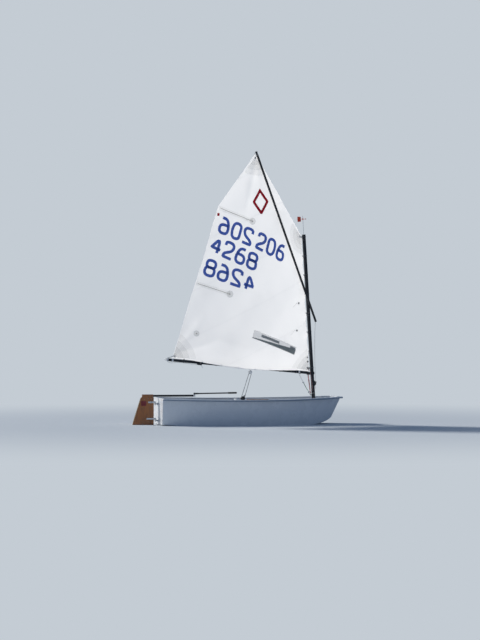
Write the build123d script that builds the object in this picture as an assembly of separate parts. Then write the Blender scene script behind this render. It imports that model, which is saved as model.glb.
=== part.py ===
from build123d import *
import os
from collections import namedtuple
from functools import lru_cache
from math import atan, cos, degrees, hypot, radians, sin, tan

# Sailing dinghy: a pram-bowed hull with a sprit rig, rudder, daggerboard and buoyancy bags.
# Millimetres. +X points to the bow, +Y to port, +Z up. The origin is at the waterline, on the
# centreline, halfway along the hull.

# Hull
HULL_LENGTH = 2300
HULL_BEAM = 1120
RAIL_HEIGHT = 318       # top of the gunwale rail amidships, above the waterline
DRAUGHT = 55            # lowest point of the bottom, below the waterline
WALL = 8
CHINE_RADIUS = 18
RAIL_OUT = 25           # how far the rail stands out from the skin
RAIL_LAP = 20           # how far its cap reaches inboard of the skin's outer face
RAIL_CAP = 8
RAIL_DEPTH = 22
RAIL_ROUND = 4
SEAT = 0.3              # gap between two pieces that rest against each other

# Inside the hull
FRAME_AFT = -90
FRAME_THICKNESS = 40
CASE_TOP = 235
CASE_WIDTH = 60
CASE_WALL = 20
CASE_FLANGE = 10
CASE_ROUND = 18         # fore corners of the case and of its flange, seen from above
FLANGE_WIDTH = 92
FLANGE_ROUND = 30
THWART_TOP = 300
THWART_THICKNESS = 12
THWART_WIDTH = 120
THWART_LIP = 34         # depth of the flanges along its two edges
THWART_BOSS = 14        # wall of the boss round the mast's hole
STEP_HEIGHT = 38
STEP_RADIUS = 36

# Daggerboard
BOARD_LENGTH = 1067
BOARD_CHORD = 285
BOARD_THICKNESS = 15
BOARD_ABOVE_CASE = 75
BOARD_END_GAP = 6       # room in the slot ahead of and behind the board
BOARD_SIDE_GAP = 2.5    # room in the slot on each side of it

# Rudder and tiller
PINTLE_OFFSET = 30      # hinge axis, aft of the transom
RUDDER_OFFSET = 50      # the blade's leading edge, aft of the transom
RUDDER_TOP = 345
RUDDER_BOTTOM = -395
RUDDER_THICKNESS = 15
TILLER_DIAMETER = 25
TILLER_HEIGHT = 360
TILLER_LENGTH = 610
TILLER_WALL = 1.6
PIN_RADIUS = 4
PIN_CLEARANCE = 0.3
EXTENSION_LENGTH = 650
EXTENSION_DIAMETER = 16
EXTENSION_HEIGHT = 385
EXTENSION_ANGLE = 25    # swung to port at rest

# Rig
MAST_LENGTH = 2350
MAST_DIAMETER = 45
MAST_WALL = 2
MAST_RAKE = 3.5
MAST_FROM_BOW = 294.5
MAST_FOOT = (HULL_LENGTH / 2 - MAST_FROM_BOW, 0, 37)
MAST_CLEARANCE = 0.6    # round the mast, in the thwart and the step
BOOM_LENGTH = 2000
BOOM_DIAMETER = 35
BOOM_WALL = 2
BOOM_SWING = 17.7       # swung to starboard at rest
BOOM_HEIGHT = 600       # at the mast, above its foot
BOOM_RISE = 8.4         # above square to the mast
SPRIT_DIAMETER = 27.5
SPRIT_WALL = 1.5
SAIL_THICKNESS = 3
VANE_HEIGHT = 195       # the vane's hub above the mast head

Station = namedtuple("Station", "sheer_along keel_along sheer_half chine_half sheer keel")
SKIN_LENGTH = HULL_LENGTH - RAIL_OUT
SKIN_HALF = HULL_BEAM / 2 - RAIL_OUT
STERN = -HULL_LENGTH / 2
SKIN_SHEER = RAIL_HEIGHT - RAIL_CAP

# The hull's sections from stern to bow: places along the sheer and the keel as shares of the skin's
# length, half breadths at the sheer and the chine as shares of half its beam, then how far the sheer
# stands above the sheer amidships and the bottom above its lowest point.
HULL_FORM = (
    # along sheer, along keel, sheer half, chine half, sheer rise, keel rise
    (0.000, 0.000, 0.794, 0.692, 16, 65),
    (0.242, 0.242, 0.944, 0.804, 4, 20),
    (0.506, 0.506, 1.000, 0.832, 0, 0),
    (0.725, 0.725, 0.890, 0.722, 6, 21),
    (0.884, 0.884, 0.688, 0.533, 16, 73),
    (1.000, 0.952, 0.477, 0.374, 28, 140),
)

# Sail rows from foot to peak, in the rig's own frame: distances aft of the mast's axis, up from its
# foot and to leeward for the two ends of the row, then the row's fullness as a share of its chord.
FOOT_SAG = 55           # how far the foot hangs below its ends, beside the boom
SAIL_ROWS = (
    # luff aft, luff up, luff lee, leech aft, leech up, leech lee, fullness
    (41, 628, 0, 1957, 914, 0, 0.040),
    (41, 720, 0, 1924, 1000, 4, 0.062),
    (40, 1050, 0, 1813, 1290, 20, 0.078),
    (38, 1500, 0, 1643, 1730, 50, 0.075),
    (35, 1930, 0, 1465, 2190, 85, 0.060),
    (33, 2327, 0, 1302, 2640, 115, 0.045),
    (145, 2502, 24, 1264, 2740, 125, 0.038),
    (257, 2677, 48, 1127, 2900, 140, 0.030),
    (482, 3026, 96, 927, 3130, 150, 0.020),
    (690, 3350, 139, 722, 3360, 140, 0.020),
)
SPRIT_HEEL = (-80, 1265)    # aft of the mast's axis and above its foot
SPRIT_TIP = (698, 3376)
SPRIT_SPLAY = 9.8           # turned to leeward, seen along the mast


def save(name, *solids):
    """Write one sub-part, which may hold several solids that don't touch."""
    shape = Compound(children=[solid for piece in solids for solid in Part(piece.wrapped).solids()])
    export_step(shape, f"parts/{name}.step")


def face_of(corners, radii=0):
    """Plane face with the given corners, each rounded by its own radius."""
    return make_face(FilletPolyline(*corners, radius=radii, close=True))


def slab(profile, plane, start, end):
    """Prism of an outline drawn in a plane, between two distances along that plane's normal."""
    return extrude(plane.offset(start) * face_of(*profile), amount=end - start, dir=plane.z_dir)


def block(low, high):
    """Box between its lowest and highest corners."""
    sizes = [top - bottom for bottom, top in zip(low, high)]
    middle = [(top + bottom) / 2 for bottom, top in zip(low, high)]
    return Pos(*middle) * Box(*sizes)


def rod(start, end, radius, bore=0):
    """Round bar or tube between two points."""
    start, end = Vector(*start), Vector(*end)
    plane = Plane(origin=start, z_dir=end - start)
    ring = Circle(radius) - Circle(bore) if bore else Circle(radius)
    return extrude(plane * ring, amount=(end - start).length)


def stations():
    """The hull's sections in millimetres."""
    rows = []
    for sheer_along, keel_along, sheer_half, chine_half, sheer_rise, keel_rise in HULL_FORM:
        rows.append(Station(
            STERN + sheer_along * SKIN_LENGTH,
            STERN + keel_along * SKIN_LENGTH,
            sheer_half * SKIN_HALF,
            chine_half * SKIN_HALF,
            SKIN_SHEER + sheer_rise,
            -DRAUGHT + keel_rise,
        ))
    return rows


HULL = stations()


def station_at(along):
    """The hull's section at a place along it, in a straight line between its neighbours."""
    for aft, fore in zip(HULL, HULL[1:]):
        if along <= fore.sheer_along or fore is HULL[-1]:
            share = (along - aft.sheer_along) / (fore.sheer_along - aft.sheer_along)
            return Station(*(a + share * (f - a) for a, f in zip(aft, fore)))


def moved_end(end, inset):
    """The stern or bow section moved inboard, with its slope kept."""
    inward = inset if end is HULL[0] else -inset
    near = station_at(end.sheer_along + inward)
    return near._replace(sheer_along=end.sheer_along + inward, keel_along=end.keel_along + inward)


def side_at(station, height):
    """Place along and half breadth of the skin's outer face at a height on one section."""
    share = (height - station.keel) / (station.sheer - station.keel)
    along = station.keel_along + share * (station.sheer_along - station.keel_along)
    return along, station.chine_half + share * (station.sheer_half - station.chine_half)


def section_face(station, inset, rise):
    """Trapezium across the hull, inset from the skin, with round chines and its top raised."""
    slope = hypot(1, (station.sheer_half - station.chine_half) / (station.sheer - station.keel))
    low, high = station.keel + inset, station.sheer + rise
    low_along, low_half = side_at(station, low)
    high_along, high_half = side_at(station, high)
    low_half -= inset * slope
    high_half -= inset * slope
    corners = (
        (high_along, high_half, high),
        (low_along, low_half, low),
        (low_along, -low_half, low),
        (high_along, -high_half, high),
    )
    chine = CHINE_RADIUS - inset
    return face_of(corners, (0, chine, chine, 0))


@lru_cache(maxsize=None)
def inner_space(gap):
    """Solid of the hollow inside the skin, less a gap all round, open above the sheer."""
    inset = WALL + gap
    rows = [moved_end(HULL[0], inset)] + HULL[1:-1] + [moved_end(HULL[-1], inset)]
    return loft([section_face(row, inset, 80) for row in rows])


SLOT_AFT = FRAME_AFT + FRAME_THICKNESS + CASE_WALL
SLOT_FORE = SLOT_AFT + BOARD_CHORD + 2 * BOARD_END_GAP
SLOT_HALF = BOARD_THICKNESS / 2 + BOARD_SIDE_GAP


def board_slot():
    """The daggerboard's slot, from below the hull to above its case."""
    return block((SLOT_AFT, -SLOT_HALF, -2 * DRAUGHT), (SLOT_FORE, SLOT_HALF, CASE_TOP + WALL))


def hull_shell():
    skin = loft([section_face(row, 0, 0) for row in HULL])
    return skin - inner_space(0) - board_slot()


def side_rail(side):
    """Rail along one side, whose cap lies on the sheer and whose leg hangs outside the skin."""
    sections = []
    for row in HULL:
        corners = []
        for drop, out in ((0, -RAIL_LAP), (0, RAIL_OUT), (RAIL_DEPTH, RAIL_OUT), (RAIL_DEPTH, -RAIL_LAP)):
            height = row.sheer + RAIL_CAP - drop
            corners.append((side_at(row, height)[0], side * (row.sheer_half + out), height))
        sections.append(face_of(corners, (RAIL_ROUND, RAIL_ROUND, RAIL_ROUND, 0)))
    skin = loft([section_face(row, -SEAT, SEAT) for row in HULL])
    return loft(sections) - skin


def bow_rail():
    """Rail along the bow transom, its ends lapping the side rails."""
    bow = HULL[-1]
    top = bow.sheer + RAIL_CAP
    foot = top - RAIL_DEPTH
    out = bow.sheer_along + RAIL_OUT
    leg = (
        (side_at(bow, foot)[0] + SEAT, foot),
        (out, foot),
        (out, top),
        (side_at(bow, top)[0] + SEAT, top),
    )
    cap = (
        (bow.sheer_along - RAIL_LAP, bow.sheer + SEAT),
        (side_at(bow, bow.sheer)[0] + 2, bow.sheer + SEAT),
        (side_at(bow, top)[0] + 2, top),
        (bow.sheer_along - RAIL_LAP, top),
    )
    wide = bow.sheer_half + RAIL_OUT
    narrow = bow.sheer_half - RAIL_LAP - SEAT
    radii = (0, RAIL_ROUND, RAIL_ROUND, 0)
    return slab((leg, radii), Plane.XZ, -wide, wide) + slab((cap,), Plane.XZ, -narrow, narrow)


def stern_rail():
    """Cap on the stern transom with a leg down its inside, between the side rails."""
    stern = HULL[0]
    top = stern.sheer + RAIL_CAP
    inside = STERN + WALL + SEAT
    profile = (
        (STERN, stern.sheer + SEAT),
        (inside, stern.sheer + SEAT),
        (inside, top - RAIL_DEPTH),
        (inside + RAIL_LAP, top - RAIL_DEPTH),
        (inside + RAIL_LAP, top),
        (STERN, top),
    )
    half = stern.sheer_half - RAIL_LAP - SEAT
    return slab((profile, (0, 0, 0, 0, RAIL_ROUND, RAIL_ROUND)), Plane.XZ, -half, half)


KNEE_LEGS = (95, 75)        # stern and bow
KNEE_THICKNESS = 18
OUTSIDE = 60                # how far a piece that the hull trims is drawn beyond the skin


def corner_knees():
    """Triangular knees in the hull's four corners, just under the rails."""
    knees = []
    for end, inward, leg in ((HULL[0], 1, KNEE_LEGS[0]), (HULL[-1], -1, KNEE_LEGS[1])):
        top = end.sheer + RAIL_CAP - RAIL_DEPTH - SEAT
        back = end.sheer_along - OUTSIDE * inward
        reach = back + (leg + 2 * OUTSIDE) * inward
        for side in (-1, 1):
            out = end.sheer_half + OUTSIDE
            corners = ((back, side * out), (reach, side * out), (back, side * (out - leg - 2 * OUTSIDE)))
            knee = slab((corners,), Plane.XY, top - KNEE_THICKNESS, top)
            knees.append(knee & inner_space(SEAT))
    return knees


FRAME_FORE = FRAME_AFT + FRAME_THICKNESS
FRAME_NOTCH = 0.59 * SKIN_HALF      # half width of the frame's lowered middle
FRAME_FOOT = 52                     # height of the frame's foot above the bottom
FRAME_BEAM = 70                     # depth of its top beam
FRAME_POST = 45                     # from the centreline to each opening


def midship_frame():
    """Moulded frame across the hull, lowered in the middle, with an opening on each side."""
    top = station_at(FRAME_AFT).sheer - 4
    outline = block((FRAME_AFT, -HULL_BEAM, -DRAUGHT), (FRAME_FORE, HULL_BEAM, top))
    notch = (
        (FRAME_NOTCH, CASE_TOP),
        (FRAME_NOTCH + 60, top + 60),
        (-FRAME_NOTCH - 60, top + 60),
        (-FRAME_NOTCH, CASE_TOP),
    )
    frame = outline & inner_space(SEAT)
    frame -= slab((notch, (40, 0, 0, 40)), Plane.YZ, FRAME_AFT - 5, FRAME_FORE + 5)
    low, high = -DRAUGHT + WALL + FRAME_FOOT, CASE_TOP - FRAME_BEAM
    for side in (-1, 1):
        opening = (
            (side * FRAME_POST, low),
            (side * FRAME_NOTCH, low),
            (side * (FRAME_NOTCH + 30), high),
            (side * FRAME_POST, high),
        )
        frame -= slab((opening, 35), Plane.YZ, FRAME_AFT - 5, FRAME_FORE + 5)
    return frame


def daggerboard_case():
    """Open box round the board's slot, from the bottom up, with a flange round its mouth."""
    aft, fore = FRAME_FORE + SEAT, SLOT_FORE + CASE_WALL
    half, wide = CASE_WIDTH / 2, FLANGE_WIDTH / 2
    lip = wide - half
    walls = ((aft, -half), (fore, -half), (fore, half), (aft, half))
    flange = ((aft, -wide), (fore + lip, -wide), (fore + lip, wide), (aft, wide))
    case = slab((walls, (0, CASE_ROUND, CASE_ROUND, 0)), Plane.XY, -DRAUGHT, CASE_TOP)
    case += slab((flange, (0, FLANGE_ROUND, FLANGE_ROUND, 0)), Plane.XY, CASE_TOP - CASE_FLANGE, CASE_TOP)
    return case & inner_space(SEAT) - board_slot()


def mast_point(up, radius=0):
    """Point on the mast's axis, or ahead of it, at a distance up from the mast's foot."""
    rake = radians(MAST_RAKE)
    x = MAST_FOOT[0] - up * sin(rake) + radius * cos(rake)
    return (x, 0, MAST_FOOT[2] + up * cos(rake) + radius * sin(rake))


def mast_hole():
    """Raked hole for the mast, from just under its foot to above the thwart."""
    radius = MAST_DIAMETER / 2 + MAST_CLEARANCE
    return rod(mast_point(-SEAT), mast_point(2 * THWART_TOP), radius)


def mast_thwart():
    """Moulded board across the hull, with a lip along each edge and a boss round the mast's hole."""
    middle = mast_point(THWART_TOP - MAST_FOOT[2])[0]
    half, under = THWART_WIDTH / 2, THWART_TOP - THWART_THICKNESS
    foot, inner = THWART_TOP - THWART_LIP, THWART_WIDTH / 2 - THWART_THICKNESS
    profile = (
        (middle - half, foot),
        (middle - half, THWART_TOP),
        (middle + half, THWART_TOP),
        (middle + half, foot),
        (middle + inner, foot),
        (middle + inner, under),
        (middle - inner, under),
        (middle - inner, foot),
    )
    radii = (3, THWART_THICKNESS, THWART_THICKNESS, 3, 3, 5, 5, 3)
    channel = slab((profile, radii), Plane.XZ, -HULL_BEAM / 2, HULL_BEAM / 2)
    boss = rod((middle, 0, foot), (middle, 0, under + 1), MAST_DIAMETER / 2 + THWART_BOSS)
    return (channel + boss) & inner_space(SEAT) - mast_hole()


def mast_collar():
    """Flanged ring on the thwart round the mast."""
    bore = MAST_DIAMETER / 2
    start = mast_point(THWART_TOP - MAST_FOOT[2])[0]
    seat = THWART_TOP + SEAT
    profile = (
        (bore - 2, 0),
        (bore + 21, 0),
        (bore + 21, 3),
        (bore + 11, 5),
        (bore + 8, 15),
        (bore - 2, 15),
    )
    ring = revolve(Plane.XZ * face_of(profile, (0, 1, 1, 4, 3, 0)), Axis.Z)
    return Pos(start, 0, seat) * ring - mast_hole()


def mast_step():
    """Cup on the bottom of the hull that holds the mast's foot."""
    x, _, foot = MAST_FOOT
    base = block((x - 50, -50, foot - 60), (x + 50, 50, foot + 2))
    cup = rod((x, 0, foot - 10), (x, 0, foot + STEP_HEIGHT), STEP_RADIUS)
    return (base + cup) & inner_space(SEAT) - mast_hole()


EYE_ALONG = MAST_FOOT[0] - 110.5
EYE_HEIGHT = 62
EYE_BORE = 8
EYE_OUTER = 18
EYE_THICKNESS = 8


def painter_eye():
    """Plate with a round eye, on a foot on the bottom of the hull."""
    half = EYE_THICKNESS / 2
    foot = block((EYE_ALONG - 28, -20, -DRAUGHT), (EYE_ALONG + 28, 20, EYE_HEIGHT - 32))
    plate = block((EYE_ALONG - EYE_OUTER, -half, -DRAUGHT), (EYE_ALONG + EYE_OUTER, half, EYE_HEIGHT))
    head = rod((EYE_ALONG, -half, EYE_HEIGHT), (EYE_ALONG, half, EYE_HEIGHT), EYE_OUTER)
    eye = rod((EYE_ALONG, -half - 1, EYE_HEIGHT), (EYE_ALONG, half + 1, EYE_HEIGHT), EYE_BORE)
    return (foot & inner_space(SEAT)) + (plate & inner_space(SEAT)) + head - eye


BAG_PRESS = 12          # how far a bag's free shape would reach into the skin it presses on
BAG_GAP = 0.5
BAG_ROUND = 62
STRAP_THICKNESS = 3
STRAP_WIDTH = 45
STRAP_PLACES = (-0.36, 0, 0.36)         # along a side bag, as shares of its length
SIDE_BAG = (65, 975, 155, 215)          # ahead of the stern from and to, thickness, height
BOW_BAG = (235, 65, 480, 190)           # behind the bow from and to, width, height
BAG_TOP = 36                            # below the sheer


def cushion(length, width, height, swell):
    """Soft box with round edges, swollen by the same amount all round."""
    body = Box(length + 2 * swell, width + 2 * swell, height + 2 * swell)
    return fillet(body.edges(), min(BAG_ROUND + swell, 0.45 * min(width, height)))


def side_bag_place(side):
    """Place of a side bag: beside the skin, turned and leaned as the skin is there."""
    start, end, thickness, height = SIDE_BAG
    rows = [station_at(STERN + along) for along in (start, end)]
    levels = [row.sheer - BAG_TOP - height / 2 for row in rows]
    aft, fore = (side_at(row, level)[1] for row, level in zip(rows, levels))
    out = (aft + fore) / 2 - WALL + BAG_PRESS - thickness / 2
    lean = degrees(atan((rows[0].sheer_half - rows[0].chine_half) / (rows[0].sheer - rows[0].keel)))
    turn = degrees(atan((fore - aft) / (end - start)))
    place = Location((STERN + (start + end) / 2, side * out, sum(levels) / 2))
    return place * Rotation(0, 0, side * turn) * Rotation(-side * lean, 0, 0)


def side_bag(side, swell=0):
    """Long soft bag against one side of the cockpit, flat where it presses on the hull."""
    start, end, thickness, height = SIDE_BAG
    return side_bag_place(side) * cushion(end - start, thickness, height, swell) & inner_space(BAG_GAP)


def bow_bag():
    """Soft bag across the bow, ahead of the mast."""
    start, end, width, height = BOW_BAG
    level = HULL[-1].sheer - BAG_TOP - height / 2
    middle = HULL_LENGTH / 2 - (start + end) / 2
    return Pos(middle, 0, level) * cushion(start - end, width, height, 0) & inner_space(BAG_GAP)


def side_bag_straps(side):
    """Webbing bands over one side bag, their ends on the skin."""
    start, end, thickness, height = SIDE_BAG
    place = side_bag_place(side)
    band = cushion(end - start, thickness, height, BAG_GAP + STRAP_THICKNESS)
    band -= cushion(end - start, thickness, height, BAG_GAP)
    straps = []
    for share in STRAP_PLACES:
        cut = Pos(share * (end - start), 0, 0) * Box(STRAP_WIDTH, 2 * thickness, 2 * height)
        straps.append(place * (band & cut) & inner_space(BAG_GAP))
    return straps


TOE_STRAP_OUT = 135
TOE_STRAP_WIDTH = 50
TOE_STRAP_HEIGHTS = (-4, 60, 140)       # at the midship frame, halfway and at the stern


def toe_strap(side):
    """Slack webbing strap from the midship frame to the stern transom."""
    fore, aft = FRAME_AFT - SEAT, STERN + WALL + SEAT
    middle = (fore + aft) / 2
    line = tuple(zip((fore, middle, aft), TOE_STRAP_HEIGHTS))
    upper = [(x, z + STRAP_THICKNESS) for x, z in reversed(line)]
    outline = tuple(line) + tuple(upper)
    out = side * TOE_STRAP_OUT
    radii = (0, 400, 0, 0, 400, 0)
    return slab((outline, radii), Plane.XZ, -out - TOE_STRAP_WIDTH / 2, -out + TOE_STRAP_WIDTH / 2)


def block_cheeks(middle, radius, gap):
    """Two cheeks and a pin of a rope block, lying across Y, round a point."""
    x, y, z = middle
    shape = rod((x, y - gap - 3, z), (x, y + gap + 3, z), 4)
    for side in (-1, 1):
        inner, outer = y + side * gap, y + side * (gap + 3)
        shape += rod((x, inner, z), (x, outer, z), radius)
    return shape


def sheave(middle, radius, half_width):
    """Grooved wheel of a rope block, lying across Y."""
    x, y, z = middle
    profile = (
        (4 + PIN_CLEARANCE, -half_width),
        (radius, -half_width),
        (radius - 4, 0),
        (radius, half_width),
        (4 + PIN_CLEARANCE, half_width),
    )
    wheel = revolve(Plane.XY * face_of(profile, 0), Axis.Y)
    return Pos(x, y, z) * wheel


RATCHET_HEIGHT = CASE_TOP + 88
RATCHET_RADIUS = 26


def ratchet_block():
    """Main sheet block on its swivel post, on the midship frame."""
    x = FRAME_AFT + FRAME_THICKNESS / 2
    middle = (x, 0, RATCHET_HEIGHT)
    gap = 9
    base = rod((x, 0, CASE_TOP + SEAT), (x, 0, CASE_TOP + 8), 17)
    low = RATCHET_HEIGHT - RATCHET_RADIUS - 10
    neck = rod((x, 0, CASE_TOP + 8), (x, 0, low), 7)
    yoke = block((x - 9, -gap - 3, low - 4), (x + 9, gap + 3, low + 4))
    arms = block((x - 9, -gap - 3, low), (x + 9, -gap, RATCHET_HEIGHT))
    arms += block((x - 9, gap, low), (x + 9, gap + 3, RATCHET_HEIGHT))
    frame = base + neck + yoke + arms + block_cheeks(middle, RATCHET_RADIUS, gap)
    return frame, sheave(middle, RATCHET_RADIUS - 3, gap - 1)


PINTLE_LEVELS = (280, 75)       # heights of the pintle straps on the blade
GUDGEON_DROP = 20               # a gudgeon's arm below its pintle strap
PINTLE_AXIS = STERN - PINTLE_OFFSET
RUDDER_FRONT = STERN - RUDDER_OFFSET


def gudgeon(level):
    """Plate on the stern transom with an arm that is bored for the pintle's pin."""
    middle = level - GUDGEON_DROP
    face = STERN - SEAT
    plate = block((face - 3, -30, middle - 16), (face, 30, middle + 16))
    arm = block((PINTLE_AXIS, -11, middle - 8), (face - 1, 11, middle + 8))
    arm += rod((PINTLE_AXIS, 0, middle - 8), (PINTLE_AXIS, 0, middle + 8), 11)
    hole = rod((PINTLE_AXIS, 0, middle - 9), (PINTLE_AXIS, 0, middle + 9), PIN_RADIUS + PIN_CLEARANCE)
    return plate + arm - hole


def pintle(level, reach):
    """Strap round the blade's leading edge with a pin that stands down from it."""
    half = RUDDER_THICKNESS / 2 + SEAT
    low, high = level - 10, level + 10
    front = RUDDER_FRONT + SEAT
    strap = block((front - reach, -half - 2.5, low), (front, half + 2.5, high))
    strap -= block((front - reach - 1, -half, low - 1), (front, half, high + 1))
    web = block((front, -half - 2.5, low), (PINTLE_AXIS, half + 2.5, high))
    web += rod((PINTLE_AXIS, 0, low), (PINTLE_AXIS, 0, high), half + 2.5)
    pin = rod((PINTLE_AXIS, 0, level - GUDGEON_DROP - 20), (PINTLE_AXIS, 0, low), PIN_RADIUS)
    return strap + web + pin


# Outline of the rudder blade from the top of its leading edge, round its foot: distance aft of the
# leading edge, height, and the corner's radius.
RUDDER_OUTLINE = (
    # aft, height, radius
    (0, RUDDER_TOP, 12),
    (165, RUDDER_TOP, 30),
    (274, 0, 500),
    (282, -250, 220),
    (235, RUDDER_BOTTOM, 60),
    (110, RUDDER_BOTTOM, 80),
    (0, -210, 150),
)


def rudder_blade():
    corners = [(RUDDER_FRONT - aft, height) for aft, height, _ in RUDDER_OUTLINE]
    radii = [radius for _, _, radius in RUDDER_OUTLINE]
    half = RUDDER_THICKNESS / 2
    blade = slab((corners, radii), Plane.XZ, -half, half)
    return chamfer(blade.faces().sort_by(Axis.Y)[0].edges() + blade.faces().sort_by(Axis.Y)[-1].edges(), 3)


TILLER_AFT = RUDDER_FRONT - 110
HEAD_FRONT = RUDDER_FRONT - 8
HEAD_AFT = RUDDER_FRONT - 148


def rudder_head():
    """Moulded head that straddles the blade's top and holds the tiller."""
    half = RUDDER_THICKNESS / 2 + 8
    top = TILLER_HEIGHT + TILLER_DIAMETER / 2 + 5
    head = block((HEAD_AFT, -half, RUDDER_TOP - 45), (HEAD_FRONT, half, top))
    head = fillet(head.edges().filter_by(Axis.X).group_by(Axis.Z)[-1], 7)
    slot = RUDDER_THICKNESS / 2 + SEAT
    head -= block((HEAD_AFT - 1, -slot, RUDDER_TOP - 50), (HEAD_FRONT + 1, slot, RUDDER_TOP + SEAT))
    start = (TILLER_AFT - 0.5, 0, TILLER_HEIGHT)
    return head - rod(start, (HEAD_FRONT + 1, 0, TILLER_HEIGHT), TILLER_DIAMETER / 2 + SEAT)


TILLER_FRONT = TILLER_AFT + TILLER_LENGTH
JOINT_AXIS = TILLER_FRONT + TILLER_DIAMETER / 2 + SEAT


def tiller():
    start, end = (TILLER_AFT, 0, TILLER_HEIGHT), (TILLER_FRONT, 0, TILLER_HEIGHT)
    return rod(start, end, TILLER_DIAMETER / 2, TILLER_DIAMETER / 2 - TILLER_WALL)


def tiller_end():
    """Plug in the tiller's forward end with the upright pin that carries the extension."""
    radius = TILLER_DIAMETER / 2
    top = TILLER_HEIGHT + radius
    middle = (JOINT_AXIS, 0, TILLER_HEIGHT)
    plug = rod((TILLER_FRONT - 30, 0, TILLER_HEIGHT), middle, radius - TILLER_WALL - SEAT)
    knob = rod((TILLER_FRONT + SEAT, 0, TILLER_HEIGHT), middle, radius)
    knob += rod((JOINT_AXIS, 0, TILLER_HEIGHT - radius), (JOINT_AXIS, 0, top), radius)
    pin = rod((JOINT_AXIS, 0, top), (JOINT_AXIS, 0, EXTENSION_HEIGHT + 10), PIN_RADIUS)
    head = rod((JOINT_AXIS, 0, EXTENSION_HEIGHT + 10), (JOINT_AXIS, 0, EXTENSION_HEIGHT + 13), 8)
    return plug + knob + pin + head


def extension_parts():
    """Socket, tube and grip of the tiller extension, swung to port about the joint's axis."""
    swing = Location((JOINT_AXIS, 0, EXTENSION_HEIGHT)) * Rotation(0, 0, EXTENSION_ANGLE)
    radius = EXTENSION_DIAMETER / 2
    ring = rod((0, 0, -9), (0, 0, 9), 11)
    socket = ring + rod((8, 0, 0), (60, 0, 0), radius + 2)
    socket -= rod((0, 0, -10), (0, 0, 10), PIN_RADIUS + PIN_CLEARANCE)
    socket -= rod((30, 0, 0), (61, 0, 0), radius + SEAT)
    grip_start = EXTENSION_LENGTH - 130
    tube = rod((30 + SEAT, 0, 0), (EXTENSION_LENGTH - 4, 0, 0), radius, radius - 1.4)
    grip = rod((grip_start, 0, 0), (EXTENSION_LENGTH, 0, 0), radius + 3)
    grip -= rod((grip_start - 1, 0, 0), (EXTENSION_LENGTH - 4 + SEAT, 0, 0), radius + SEAT)
    return swing * socket, swing * tube, swing * grip


BOARD_TOP = CASE_TOP + BOARD_ABOVE_CASE
BOARD_AFT = SLOT_AFT + BOARD_END_GAP
BOARD_FORE = BOARD_AFT + BOARD_CHORD


def daggerboard():
    """Board with a round nose and a thin tail, its lower corners rounded."""
    half = BOARD_THICKNESS / 2
    tail = 1.5
    outline = (
        (BOARD_AFT, BOARD_TOP),
        (BOARD_FORE, BOARD_TOP),
        (BOARD_FORE, BOARD_TOP - BOARD_LENGTH),
        (BOARD_AFT, BOARD_TOP - BOARD_LENGTH),
    )
    plank = slab((outline, (12, 12, 70, 40)), Plane.XZ, -half, half)
    foil = (
        (BOARD_AFT, tail),
        (BOARD_AFT + 70, half),
        (BOARD_FORE, half),
        (BOARD_FORE, -half),
        (BOARD_AFT + 70, -half),
        (BOARD_AFT, -tail),
    )
    nose = half - 0.1
    radii = (0, 40, nose, nose, 40, 0)
    return plank & slab((foil, radii), Plane.XY, BOARD_TOP - BOARD_LENGTH - 1, BOARD_TOP + 1)


def board_battens():
    """Two battens on the board's head that rest on the case's flange."""
    battens = []
    for side in (-1, 1):
        inner = side * (BOARD_THICKNESS / 2 + SEAT)
        outer = side * (BOARD_THICKNESS / 2 + 18)
        low = (BOARD_AFT + 75, min(inner, outer), CASE_TOP + SEAT)
        high = (BOARD_FORE - 12, max(inner, outer), CASE_TOP + 30)
        batten = block(low, high)
        outer_edges = batten.edges().filter_by(Axis.X).group_by(Axis.Y)[-1 if side > 0 else 0]
        battens.append(fillet(outer_edges.sort_by(Axis.Z)[-1], 8))
    return battens


RIG = Location(MAST_FOOT) * Rotation(0, -MAST_RAKE, 0) * Rotation(0, 0, BOOM_SWING)


def rig_point(aft, up, lee=0):
    """Point in the rig's own frame: aft of the mast's axis, up from its foot, to leeward."""
    return (-aft, -lee, up)


def boom_point(along, drop=0):
    """Point along the boom's axis from the mast's axis, or below it."""
    rise = radians(BOOM_RISE)
    aft = along * cos(rise) - drop * sin(rise)
    return rig_point(aft, BOOM_HEIGHT + along * sin(rise) - drop * cos(rise))


def mast_parts():
    radius = MAST_DIAMETER / 2
    inner = radius - MAST_WALL
    tube = rod((0, 0, 6), (0, 0, MAST_LENGTH - 6), radius, inner)
    heel = rod((0, 0, 0), (0, 0, 6 - SEAT), radius) + rod((0, 0, 1), (0, 0, 40), inner - SEAT)
    top = MAST_LENGTH - 6 + SEAT
    head = rod((0, 0, top), (0, 0, MAST_LENGTH), radius) + rod((0, 0, top - 40), (0, 0, top), inner - SEAT)
    return tube, heel, head


JAW_REACH = 70


def boom_jaw():
    """Fork round the mast with a plug that fits the boom tube."""
    radius = MAST_DIAMETER / 2
    arm = 9
    half = 16
    body = block((-JAW_REACH, -radius - arm, BOOM_HEIGHT - half), (16, radius + arm, BOOM_HEIGHT + half))
    body = fillet(body.edges().filter_by(Axis.Z).group_by(Axis.X)[0], 18)
    gape = block((0, -radius - SEAT, BOOM_HEIGHT - 20), (20, radius + SEAT, BOOM_HEIGHT + 20))
    body -= gape + rod((0, 0, BOOM_HEIGHT - 20), (0, 0, BOOM_HEIGHT + 20), radius + SEAT)
    plug = rod(boom_point(55), boom_point(JAW_REACH + 45), BOOM_DIAMETER / 2 - BOOM_WALL - SEAT)
    return body + plug


BOOM_START = JAW_REACH + 4
BOOM_END = BOOM_START + BOOM_LENGTH - 30


def boom():
    radius = BOOM_DIAMETER / 2
    return rod(boom_point(BOOM_START), boom_point(BOOM_END), radius, radius - BOOM_WALL)


BOOM_RIM = 14
BOOM_EYE = 12           # from the rim to the middle of the eye
BOOM_EYE_BORE = 4.5
BOOM_EYE_OUTER = 10
BOOM_EYE_HALF = 5       # half its thickness


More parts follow.
